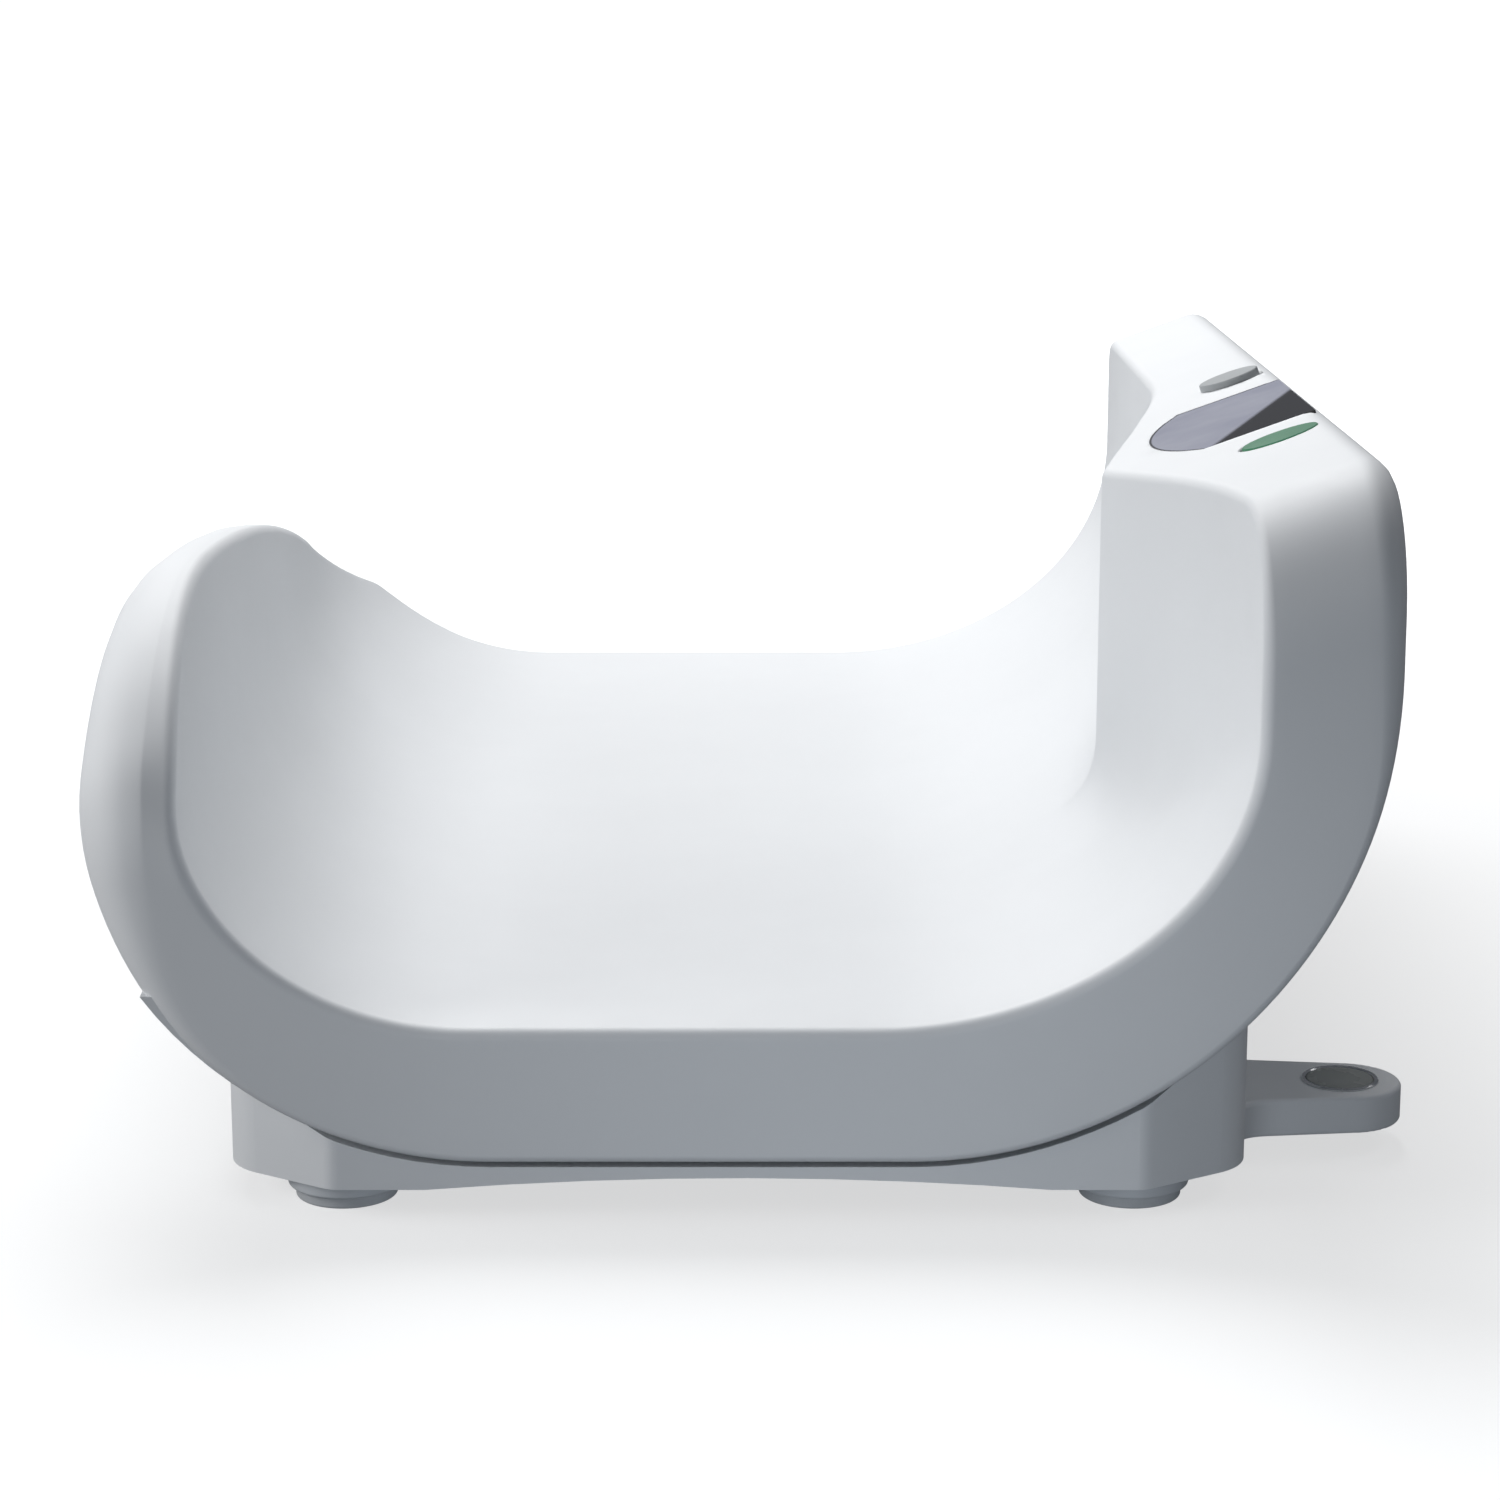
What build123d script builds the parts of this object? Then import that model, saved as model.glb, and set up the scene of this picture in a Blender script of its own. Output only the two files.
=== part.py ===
"""Electronic baby scale: a U-shaped tray with a tilted console, on a levelled base.

+X is to the console side, +Y to the back, +Z up. The origin lies on the ground, in the middle of the
bounding box. Millimetres.
"""

from build123d import *
from math import atan2, pi, tan
import os

# Overall sizes, X measured from the middle plane of the base
LENGTH = 550.0  # tray, front face to back face
LEFT = 209.4  # middle plane to the low wall's outside
RIGHT = 206.8  # middle plane to the console wall's outside
TAB_END = 223.0  # middle plane to the end of the level tab
FLOOR = 63.0  # tray floor above the ground
MID_X = (LEFT - TAB_END) / 2
SKIN = 3.0  # wall of every moulded shell
GAP = 1.6  # free space between the tray and the base
FIT = 0.15  # gap between shells that meet

# Tray section: quarter ellipses joined by straight runs, heights above the tray floor
INNER_LEFT = 176.0
INNER_RIGHT = 162.0
INNER_FLARE = 5.0  # the low wall leans out by this much towards its top
INNER_LEFT_RX, INNER_LEFT_RZ = 90.0, 75.0
INNER_RIGHT_RX, INNER_RIGHT_RZ = 120.0, 95.0
BELLY = 44.7  # underside below the tray floor
OUTER_LEFT_RX, OUTER_LEFT_Z = 130.0, 75.0
OUTER_RIGHT_RX, OUTER_RIGHT_Z = 151.8, 115.0
SECTION_TOP = 200.0  # above every rim, trimmed by the side profiles
SEAM = 10.0  # top edge of the lower shell

# Low wall, seen from the side: height of the rim above the tray floor
RIM_FRONT, RIM_PEAK, RIM_BACK = 50.0, 122.5, 30.0
RIM_PEAK_Y = -105.0

# Console: top face rises to the outside and falls a little to the back
CONSOLE_RISE = 0.36
CONSOLE_FALL = 0.0434
CONSOLE_BASE = 106.2  # height of the top face's plane above the floor at X = 0 on the front face
CONSOLE_FRONT_R = 48.0
CONSOLE_BACK_R = 10.0
NOSE_X, NOSE_Y = 128.5, -78.0  # sharp corner of the display housing
NOSE_LOW = 12.0
NOSE_ROOT = 166.0  # where the nose ends inside the console wall
NOSE_START, NOSE_STOP = -268.0, 95.0

# Display and keys, in the plane of the console face (x up the slope, y to the back)
PANEL_X, PANEL_Y = 185.0, -60.0
WINDOW_OUT, WINDOW_IN, WINDOW_SHOULDER = 15.0, 40.0, 25.0
WINDOW_FRONT, WINDOW_BACK = -48.0, 49.0
WINDOW_THICK, GASKET_THICK = 1.2, 0.3
WINDOW_LEDGE = 2.5
LCD_SIZE = (38.0, 84.0)
LCD_POS = (-9.0, 0.5)
LCD_THICK = 2.8
HOLDER_RIM = 3.0
BOARD_SIZE = (34.0, 206.0)
BOARD_POS = (-5.0, 3.0)
BOARD_SCREW_INSET = 5.0
BOARD_DEPTH, BOARD_THICK = 12.0, 1.6
KEY_GAP = 0.3
START_KEY_POS, START_KEY_SIZE, START_KEY_PROUD = (-2.0, -78.0), (27.0, 21.0), 0.4
MODE_KEY_POS, MODE_KEY_SIZE, MODE_KEY_PROUD = (0.5, 84.0), (23.0, 21.0), 2.6
KEY_FLANGE, KEY_FLANGE_THICK = 1.6, 1.2
KEY_STEM_R, KEY_STEM = 3.4, 2.2
SWITCH_SIZE, SWITCH_TALL = 6.0, 3.4
SPRING_WIRE_R, SPRING_R, SPRING_TURNS, SPRING_CLEAR = 0.35, 5.6, 4, 0.3

# Base
BASE_BOTTOM = 9.0
BASE_FRONT = 130.0  # half the flat front face
BASE_SIDE = 165.0
BASE_INSET = 2.0  # front face behind the tray's front face
BASE_CORNER = 22.0  # depth of the corner face
BASE_EDGE_R, BASE_SIDE_R = 8.0, 20.0
ARCH_HALF, ARCH_TOP = 100.0, 13.0
DECK_X, DECK_Y, DECK_TOP = 108.0, 222.0, 30.0
DECK_GAP = 7.0  # round the deck, where it passes through the tray's lower shell
PLATE_THICK = 2.5

# Level on its tab
TAB_Y, TAB_ROOT_W, TAB_END_R = -196.0, 46.0, 18.5
TAB_BOTTOM, TAB_TOP = 7.0, 20.0
TAB_FLARE, TAB_EDGE_R = 11.0, 1.6
LEVEL_X = 202.5
LEVEL_R, LEVEL_DEEP = 13.0, 9.0
LEVEL_RING, LEVEL_WALL, LEVEL_LENS = 1.6, 1.2, 1.6

# Levelling feet
FOOT_X, FOOT_Y = 127.0, 250.0
FOOT_R, WHEEL_LOW, WHEEL_HIGH = 19.0, 4.1, 8.5
PAD_R, PAD_THICK = 16.5, 4.0
STUD_R, STUD_LOW, STUD_TOP = 4.0, 1.6, 20.0
THREAD_CLEAR = 0.05
INSERT_R, INSERT_LOW, INSERT_HIGH = 6.0, 10.0, 19.5
FOOT_BOSS_R = 9.0

# Load cell, frame and stops
CELL_W, CELL_L, CELL_H = 30.0, 130.0, 20.0
SPACER_L, SPACER_LOW, SPACER_HIGH = 34.0, 2.0, 1.5
CELL_HOLE_PITCH = 18.0
FRAME_X, FRAME_Y, FRAME_THICK = 68.0, 190.0, 3.5
FRAME_BOSS_R = 6.0
STOP_X, STOP_Y, STOP_R, STOP_GAP = 52.0, 150.0, 4.0, 0.8

# Batteries, AA size
CELL_R, AA_LONG = 7.25, 50.5
HOLDER_X, HOLDER_WALL = 139.6, 1.4
HOLDER_LOW = 11.7
CONTACT_THICK, CONTACT_SPRING = 0.5, 4.0
CELL_CLEAR = 0.6
DOOR_THICK, DOOR_GAP = 2.1, 0.3
DOOR_LAP = 2.0
DOOR_TAB, TAB_THICK, TAB_LONG = 2.0, 1.1, 11.0
RAIL_PITCH, RAIL_WEB, RAIL_LIP = 36.0, 1.4, 0.9

# Cables
CABLE_R, WIRE_R = 2.0, 1.5
CONNECTOR_SIZE, CONNECTOR_TALL = (9.0, 12.0), 5.0
SIGNAL_SPOT, POWER_SPOT = (-5.0, 30.0), (-5.0, 88.0)
SIGNAL_Y, POWER_Y = -30.0, 30.0
POWER_HOLE_X, POWER_LOW = 86.0, 17.0
GROMMET_R, GROMMET_BORE = 5.0, 3.0

BODY = Plane(origin=(MID_X, 0, 0))
HALF = LENGTH / 2
CELL_LOW = DECK_TOP + SPACER_LOW
CELL_HIGH = CELL_LOW + CELL_H
FRAME_LOW = CELL_HIGH + SPACER_HIGH
FRAME_HIGH = FRAME_LOW + FRAME_THICK

os.makedirs("parts", exist_ok=True)


def across(y, z=0.0):
    """Upright plane facing the front, with x = X from the middle plane and y = height."""
    return Plane(origin=(MID_X, y, z), x_dir=(1, 0, 0), z_dir=(0, -1, 0))


def along(x, z=0.0):
    """Upright plane facing +X, with x = Y and y = height."""
    return Plane(origin=(MID_X + x, 0, z), x_dir=(0, 1, 0), z_dir=(1, 0, 0))


def console_height(x, y):
    """Height of the console's top plane above the ground."""
    return FLOOR + CONSOLE_BASE + CONSOLE_RISE * x - CONSOLE_FALL * (y + HALF)


def panel(depth=0.0):
    """Plane of the console face, or one that lies `depth` below it."""
    normal = Vector(-CONSOLE_RISE, CONSOLE_FALL, 1).normalized()
    slope = Vector(0, 1, -CONSOLE_FALL).cross(normal)
    spot = (MID_X + PANEL_X, PANEL_Y, console_height(PANEL_X, PANEL_Y))
    return Plane(origin=spot, x_dir=slope, z_dir=normal).offset(-depth)


def save(piece, name):
    piece.label = name
    export_step(piece, f"parts/{name}.step")


# ---------------------------------------------------------------- tray body


def outer_outline(inset):
    """Everything inside the tray's outside curve, moved inwards by `inset`."""
    left, right, low = -LEFT + inset, RIGHT - inset, -BELLY + inset
    left_c, right_c = -LEFT + OUTER_LEFT_RX, RIGHT - OUTER_RIGHT_RX
    with BuildLine() as outline:
        Line((left, SECTION_TOP), (left, OUTER_LEFT_Z))
        EllipticalCenterArc(
            (left_c, OUTER_LEFT_Z), OUTER_LEFT_RX - inset, OUTER_LEFT_Z - low, start_angle=180, arc_size=90
        )
        Line((left_c, low), (right_c, low))
        EllipticalCenterArc(
            (right_c, OUTER_RIGHT_Z), OUTER_RIGHT_RX - inset, OUTER_RIGHT_Z - low, start_angle=270, arc_size=90
        )
        Line((right, OUTER_RIGHT_Z), (right, SECTION_TOP))
        Line((right, SECTION_TOP), (left, SECTION_TOP))
    make_face(outline.edges())


def trough_outline(inset):
    """The open trough, its walls moved outwards, into the tray's material, by `inset`."""
    left, right = -INNER_LEFT - inset, INNER_RIGHT + inset
    left_c, right_c = -INNER_LEFT + INNER_LEFT_RX, INNER_RIGHT - INNER_RIGHT_RX
    top_left = left - INNER_FLARE * (SECTION_TOP - INNER_LEFT_RZ) / (RIM_PEAK - INNER_LEFT_RZ)
    with BuildLine() as outline:
        Line((top_left, SECTION_TOP), (left, INNER_LEFT_RZ))
        EllipticalCenterArc(
            (left_c, INNER_LEFT_RZ), INNER_LEFT_RX + inset, INNER_LEFT_RZ + inset, start_angle=180, arc_size=90
        )
        Line((left_c, -inset), (right_c, -inset))
        EllipticalCenterArc(
            (right_c, INNER_RIGHT_RZ), INNER_RIGHT_RX + inset, INNER_RIGHT_RZ + inset, start_angle=270, arc_size=90
        )
        Line((right, INNER_RIGHT_RZ), (right, SECTION_TOP))
        Line((right, SECTION_TOP), (top_left, SECTION_TOP))
    make_face(outline.edges())


def nose_outline(inset):
    """Plan of the display housing, which stands in from the console wall."""
    tip = (NOSE_X + inset, NOSE_Y)
    start, stop = (INNER_RIGHT + inset, NOSE_START + inset), (INNER_RIGHT + inset, NOSE_STOP - inset)
    with BuildLine() as outline:
        Spline(start, (NOSE_X + 22 + inset, -162), tip, tangents=((0, 1), (-0.25, 1)))
        Spline(tip, (NOSE_X + 19 + inset, 0), stop, tangents=((0.2, 1), (0, 1)))
        Polyline(stop, (NOSE_ROOT, stop[1]), (NOSE_ROOT, start[1]), start)
    make_face(outline.edges())


def low_wall_profile(inset):
    """Side view of the low wall, from the front (left) to the back."""
    front, back, low = -HALF + inset, HALF - inset, -BELLY - 20
    with BuildLine() as outline:
        Spline(
            (front, RIM_FRONT - inset),
            (-HALF + 52 + inset / 2, RIM_PEAK - 13 - inset),
            (RIM_PEAK_Y, RIM_PEAK - inset),
            (HALF - 157, RIM_BACK + 52.5 - inset),
            (back, RIM_BACK - inset),
            tangents=((0, 1), (1, -0.3)),
        )
        Polyline((back, RIM_BACK - inset), (back, low), (front, low), (front, RIM_FRONT - inset))
    make_face(outline.edges())


def console_profile(inset):
    """Side view of the console wall at X = 0, to be swept up the console's slope."""
    front, back, low = -HALF + inset, HALF - inset, -BELLY - 150
    top = CONSOLE_BASE - inset
    with BuildLine() as outline:
        FilletPolyline(
            (front, low),
            (front, top),
            (back, top - CONSOLE_FALL * LENGTH),
            (back, low),
            radius=(0, CONSOLE_FRONT_R - inset, CONSOLE_BACK_R - inset, 0),
            close=True,
        )
    make_face(outline.edges())


def tray_body(inset):
    """The whole tray as one block, every outside face moved inwards by `inset`."""
    run = LENGTH - 2 * inset
    with BuildPart() as body:
        with BuildSketch(across(-HALF + inset, FLOOR)):
            outer_outline(inset)
            with BuildSketch(mode=Mode.SUBTRACT):
                trough_outline(inset)
        extrude(amount=-run)
        with BuildSketch(BODY.offset(FLOOR + NOSE_LOW + 10 * inset)):
            nose_outline(inset)
        extrude(amount=SECTION_TOP - NOSE_LOW - 10 * inset)
    with BuildPart() as trim:
        with BuildSketch(along(0, FLOOR)):
            low_wall_profile(inset)
        extrude(amount=-LEFT - 10)
        with BuildSketch(along(0, FLOOR)):
            console_profile(inset)
        extrude(amount=2 * RIGHT, dir=(1, 0, CONSOLE_RISE))
    return body.part & trim.part


# ---------------------------------------------------------------- places shared by several pieces

SHELL_SCREW_X = (-150, 118)
SCREW_ROWS = (-210, -70, 70, 210)
SHELL_SCREWS = [(x, y) for x in SHELL_SCREW_X for y in SCREW_ROWS]
SHELL_HEAD, SHELL_SEAT = (2.3, 1.4), 1.3
BASE_HEAD = (3.6, 1.4)
FRAME_SCREWS = [(x, y) for x in (-52, 52) for y in (-180, -110, 110, 180)]
BASE_SCREWS = [(x, y) for x in (-152, 155) for y in (-215, -75, 75, 215)]
BOARD_SCREWS = [
    (BOARD_POS[0] + side * (BOARD_SIZE[0] / 2 - BOARD_SCREW_INSET), BOARD_POS[1] + end * (BOARD_SIZE[1] / 2 - 5))
    for side in (-1, 1)
    for end in (-1, 1)
]
STOPS = [(x, y) for x in (-STOP_X, STOP_X) for y in (-STOP_Y, STOP_Y)]
CELL_SCREWS = [CELL_L / 2 - 8, CELL_L / 2 - 8 - CELL_HOLE_PITCH]
FEET = {
    "front_left": (-FOOT_X, -FOOT_Y),
    "front_right": (FOOT_X, -FOOT_Y),
    "rear_left": (-FOOT_X, FOOT_Y),
    "rear_right": (FOOT_X, FOOT_Y),
}
PANEL_SKIN = SKIN * panel().z_dir.Z
HOLDER_W = 4 * CELL_R + 2 * CELL_CLEAR + 2 * HOLDER_WALL
HOLDER_L = 2 * AA_LONG + CONTACT_SPRING + 2 * CONTACT_THICK + 2 * HOLDER_WALL
HOLDER_TALL = 2 * CELL_R + CELL_CLEAR + HOLDER_WALL
DOOR_W, DOOR_L = HOLDER_W + 2 * DOOR_LAP, HOLDER_L + 2 * DOOR_LAP
DOOR_TOP = BASE_BOTTOM - DOOR_GAP
RAILS = [-RAIL_PITCH, 0, RAIL_PITCH]


def pegs(plane, points, radius, length):
    """Round pegs of one size on a plane, rising along its normal."""
    with BuildPart() as group:
        with BuildSketch(plane):
            with Locations(list(points)):
                Circle(radius)
        extrude(amount=length)
    return group.part


def screws(plane, points, head, shank):
    """Socket screws: heads stand on the plane, shanks go down its normal; head and shank are (radius, length)."""
    with BuildPart() as group:
        add(pegs(plane, points, head[0], head[1]))
        add(pegs(plane, points, shank[0], -shank[1]))
        with BuildSketch(plane.offset(head[1])):
            with Locations(list(points)):
                RegularPolygon(shank[0] * 0.8, 6)
        extrude(amount=-head[1] * 0.55, mode=Mode.SUBTRACT)
    return group.part


def facing_down(z):
    """Plane at height z that faces the ground; its y axis points to the front."""
    return Plane(origin=(MID_X, 0, z), x_dir=(1, 0, 0), z_dir=(0, 0, -1))


def below(points):
    """Points as a plane that faces the ground counts them."""
    return [(x, -y) for x, y in points]


def underside(x):
    """Height of the tray's underside at x, above the ground."""
    centre, radius, high = -LEFT + OUTER_LEFT_RX, OUTER_LEFT_RX, OUTER_LEFT_Z
    if x > 0:
        centre, radius, high = RIGHT - OUTER_RIGHT_RX, OUTER_RIGHT_RX, OUTER_RIGHT_Z
    return FLOOR + high - (high + BELLY) * (1 - ((x - centre) / radius) ** 2) ** 0.5


# ---------------------------------------------------------------- tray shells

tray_block = tray_body(0)

with BuildPart() as cavity:
    add(tray_body(SKIN))
    # screw columns between the two shells, and bosses that bear on the frame
    add(pegs(BODY, SHELL_SCREWS, 5, 2 * FLOOR), mode=Mode.SUBTRACT)
    add(pegs(BODY.offset(FRAME_HIGH), FRAME_SCREWS, FRAME_BOSS_R, FLOOR - FRAME_HIGH), mode=Mode.SUBTRACT)
    # posts of the main board
    add(pegs(panel(BOARD_DEPTH), BOARD_SCREWS, 3, BOARD_DEPTH), mode=Mode.SUBTRACT)


def lower_band(grow):
    """The lower shell's skin under the seam; `grow` adds the fitting gap."""
    run = LENGTH - 2 * (SKIN + FIT) + 2 * grow
    with BuildPart() as band:
        with BuildSketch(across(-run / 2, FLOOR)):
            outer_outline(-5 * grow)
            with BuildSketch(mode=Mode.SUBTRACT):
                outer_outline(SKIN + grow / 2)
            with Locations((0, SEAM + grow + SECTION_TOP)):
                Rectangle(3 * LEFT, 2 * SECTION_TOP, mode=Mode.SUBTRACT)
        extrude(amount=-run)
    return band.part


def window_outline(grow):
    """Display window: straight outside and ends, a bowed inner side."""
    out, front, back = WINDOW_OUT + grow, WINDOW_FRONT - grow, WINDOW_BACK + grow
    with BuildLine() as outline:
        Polyline((-WINDOW_SHOULDER, back), (out, back), (out, front), (-WINDOW_SHOULDER, front))
        ThreePointArc((-WINDOW_SHOULDER, front), (-WINDOW_IN - grow, (front + back) / 2), (-WINDOW_SHOULDER, back))
    make_face(outline.edges())


KEYS = ((START_KEY_POS, START_KEY_SIZE), (MODE_KEY_POS, MODE_KEY_SIZE))

with BuildPart() as tray_upper_shell:
    add(tray_block)
    add(cavity.part, mode=Mode.SUBTRACT)
    add(lower_band(FIT), mode=Mode.SUBTRACT)
    with BuildSketch(panel(WINDOW_THICK + GASKET_THICK)):
        window_outline(FIT)
    extrude(amount=4 * WINDOW_THICK, mode=Mode.SUBTRACT)
    with BuildSketch(panel(SKIN)):
        window_outline(-WINDOW_LEDGE)
    extrude(amount=2 * SKIN, mode=Mode.SUBTRACT)
    for spot, size in KEYS:
        with BuildSketch(panel(SKIN)):
            with Locations(spot):
                Ellipse(size[0] / 2 + KEY_GAP, size[1] / 2 + KEY_GAP)
        extrude(amount=2 * SKIN, mode=Mode.SUBTRACT)
    # pilot holes of the shell, frame and board screws
    add(pegs(BODY, SHELL_SCREWS, 1.35, FLOOR - 5), mode=Mode.SUBTRACT)
    add(pegs(BODY.offset(FRAME_HIGH), FRAME_SCREWS, 2.05, 4.6), mode=Mode.SUBTRACT)
    add(pegs(panel(BOARD_DEPTH), BOARD_SCREWS, 1.3, 8), mode=Mode.SUBTRACT)
save(tray_upper_shell.part, "tray_upper_shell")

with BuildPart() as tray_lower_shell:
    add(lower_band(0))
    with BuildSketch(BODY):
        RectangleRounded(2 * (DECK_X + DECK_GAP), 2 * (DECK_Y + DECK_GAP), 10)
    extrude(amount=FLOOR, mode=Mode.SUBTRACT)
    add(pegs(BODY, SHELL_SCREWS, 1.6, FLOOR), mode=Mode.SUBTRACT)
    for x in SHELL_SCREW_X:
        row = [(x, y) for y in SCREW_ROWS]
        add(pegs(BODY, row, SHELL_HEAD[0] + FIT, underside(x) + SHELL_SEAT), mode=Mode.SUBTRACT)
save(tray_lower_shell.part, "tray_lower_shell")

# ---------------------------------------------------------------- base


def base_plan(inset):
    """Plan of the base: flat front and back, cut corners."""
    front, side = HALF - BASE_INSET - inset, BASE_SIDE - inset
    turn = atan2(BASE_CORNER, BASE_SIDE - BASE_FRONT)
    flat = BASE_FRONT - inset * tan(turn / 2)
    corner = HALF - BASE_INSET - BASE_CORNER - inset * tan(pi / 4 - turn / 2)
    points = [(-flat, -front), (flat, -front), (side, -corner), (side, corner)]
    points += [(flat, front), (-flat, front), (-side, corner), (-side, -corner)]
    radii = [BASE_EDGE_R - inset] * 2 + [BASE_SIDE_R - inset] * 2
    with BuildLine() as outline:
        FilletPolyline(*points, radius=2 * radii, close=True)
    make_face(outline.edges())


def arch_outline(rise):
    """Everything under the base's underside, which arches up in the middle."""
    low, far, deep = BASE_BOTTOM + rise, 2 * BASE_SIDE, -BASE_BOTTOM
    with BuildLine() as outline:
        Line((-far, low), (-ARCH_HALF, low))
        ThreePointArc((-ARCH_HALF, low), (0, ARCH_TOP + rise), (ARCH_HALF, low))
        Polyline((ARCH_HALF, low), (far, low), (far, deep), (-far, deep), (-far, low))
    make_face(outline.edges())


def base_block(inset):
    """The base as one block, under the tray's curve and with the deck that reaches into the tray."""
    with BuildPart() as block:
        with BuildSketch(BODY):
            base_plan(inset)
        extrude(amount=FLOOR)
        with BuildSketch(across(-HALF, FLOOR)):
            outer_outline(-GAP - inset)
        extrude(amount=-LENGTH, mode=Mode.SUBTRACT)
        with BuildSketch(BODY):
            RectangleRounded(2 * (DECK_X - inset), 2 * (DECK_Y - inset), 6 - inset / 2)
        extrude(amount=DECK_TOP - inset)
        with BuildSketch(across(-HALF)):
            arch_outline(0)
        extrude(amount=-LENGTH, mode=Mode.SUBTRACT)
    return block.part


PLATE_TOP = BASE_BOTTOM + PLATE_THICK

with BuildPart() as base_hollow:
    add(base_block(SKIN))
    add(pegs(BODY.offset(PLATE_TOP + 0.1), BASE_SCREWS, 5, FLOOR), mode=Mode.SUBTRACT)
    add(pegs(BODY, FEET.values(), FOOT_BOSS_R, FLOOR), mode=Mode.SUBTRACT)

with BuildPart() as level_tab:
    tab_end, tab_root = TAB_END - TAB_END_R, BASE_SIDE - SKIN + 0.5
    flare_x, flare_y = BASE_SIDE + TAB_FLARE, TAB_ROOT_W / 2 + TAB_FLARE
    slope = (TAB_ROOT_W / 2 - TAB_END_R) / (tab_end - BASE_SIDE)
    side_y = TAB_END_R + slope * (tab_end - flare_x)
    with BuildSketch(BODY.offset(TAB_BOTTOM)):
        with BuildLine():
            for side in (-1, 1):
                Line((tab_end, TAB_Y + side * TAB_END_R), (flare_x, TAB_Y + side * side_y))
                Spline(
                    (flare_x, TAB_Y + side * side_y),
                    (BASE_SIDE, TAB_Y + side * flare_y),
                    tangents=((-1, side * slope), (0, side)),
                )
                Line((BASE_SIDE, TAB_Y + side * flare_y), (tab_root, TAB_Y + side * flare_y))
            Line((tab_root, TAB_Y - flare_y), (tab_root, TAB_Y + flare_y))
            ThreePointArc((tab_end, TAB_Y - TAB_END_R), (TAB_END, TAB_Y), (tab_end, TAB_Y + TAB_END_R))
        make_face()
    extrude(amount=TAB_TOP - TAB_BOTTOM)
    rims = level_tab.edges().filter_by(Plane.XY).filter_by(lambda edge: edge.center().X > BODY.origin.X + BASE_SIDE + 0.5)
    fillet(rims, TAB_EDGE_R)

with BuildPart() as base_shell:
    add(base_block(0))
    add(level_tab.part)
    add(base_hollow.part, mode=Mode.SUBTRACT)
    add(pegs(BODY.offset(TAB_TOP), [(LEVEL_X, TAB_Y)], LEVEL_R, -LEVEL_DEEP), mode=Mode.SUBTRACT)
    # deck: load cell screws, overload stops, power cable
    add(pegs(BODY, [(0, y) for y in CELL_SCREWS], 3.2, FLOOR), mode=Mode.SUBTRACT)
    add(pegs(BODY, STOPS, STOP_R, FLOOR), mode=Mode.SUBTRACT)
    add(pegs(BODY, [(POWER_HOLE_X, POWER_Y)], GROMMET_R - 1, FLOOR), mode=Mode.SUBTRACT)
    # bores of the foot inserts and the base screws
    add(pegs(BODY, FEET.values(), INSERT_R, INSERT_HIGH), mode=Mode.SUBTRACT)
    add(pegs(BODY, FEET.values(), STUD_R + 0.6, STUD_TOP + 0.5), mode=Mode.SUBTRACT)
    add(pegs(BODY, BASE_SCREWS, 1.55, PLATE_TOP + 9), mode=Mode.SUBTRACT)
save(base_shell.part, "base_shell")

with BuildPart() as base_bottom_plate:
    with BuildSketch(across(-HALF)):
        arch_outline(PLATE_THICK)
    extrude(amount=-LENGTH)
    add(base_block(SKIN + FIT), mode=Mode.INTERSECT)
    with BuildSketch(BODY):
        with Locations((HOLDER_X, 0)):
            Rectangle(HOLDER_W - 2 * HOLDER_WALL, HOLDER_L - 2 * HOLDER_WALL)
    extrude(amount=FLOOR, mode=Mode.SUBTRACT)
    add(pegs(BODY, FEET.values(), FOOT_BOSS_R + FIT, FLOOR), mode=Mode.SUBTRACT)
    add(pegs(BODY, BASE_SCREWS, 1.9, FLOOR), mode=Mode.SUBTRACT)
    add(pegs(BODY, BASE_SCREWS, BASE_HEAD[0] + FIT, BASE_BOTTOM + BASE_HEAD[1]), mode=Mode.SUBTRACT)
    # short rails under the battery door's tabs
    for side in (-1, 1):
        edge = HOLDER_X + side * (DOOR_W / 2 + DOOR_TAB + DOOR_GAP)
        under = DOOR_TOP - TAB_THICK - DOOR_GAP
        for y in RAILS:
            with BuildSketch(across(y - TAB_LONG / 2)):
                with BuildLine():
                    Polyline(
                        (edge, BASE_BOTTOM + 0.5),
                        (edge, under),
                        (edge - side * DOOR_TAB, under),
                        (edge - side * DOOR_TAB, under - RAIL_LIP),
                        (edge + side * RAIL_WEB, under - RAIL_LIP),
                        (edge + side * RAIL_WEB, BASE_BOTTOM + 0.5),
                        close=True,
                    )
                make_face()
            extrude(amount=-TAB_LONG)
    # stop at the door's front edge
    with BuildSketch(BODY.offset(DOOR_TOP - DOOR_THICK)):
        with Locations((HOLDER_X, -DOOR_L / 2 - 1.6)):
            Rectangle(16, 3)
    extrude(amount=DOOR_THICK + DOOR_GAP + 0.5)
save(base_bottom_plate.part, "base_bottom_plate")

# ---------------------------------------------------------------- load cell, frame, stops

with BuildPart() as load_cell:
    with BuildSketch(BODY.offset(CELL_LOW)):
        Rectangle(CELL_W, CELL_L)
    extrude(amount=CELL_H)
    # two bores joined by a slot make the bending beams
    with BuildSketch(along(-CELL_W, (CELL_LOW + CELL_HIGH) / 2)):
        with Locations((-14, 0), (14, 0)):
            Circle(7)
        Rectangle(28, 5)
    extrude(amount=2 * CELL_W, mode=Mode.SUBTRACT)
    add(pegs(BODY.offset(CELL_LOW), [(0, y) for y in CELL_SCREWS], 3, 13), mode=Mode.SUBTRACT)
    add(pegs(BODY.offset(CELL_HIGH), [(0, -y) for y in CELL_SCREWS], 3, -13), mode=Mode.SUBTRACT)
save(load_cell.part, "load_cell")

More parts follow.
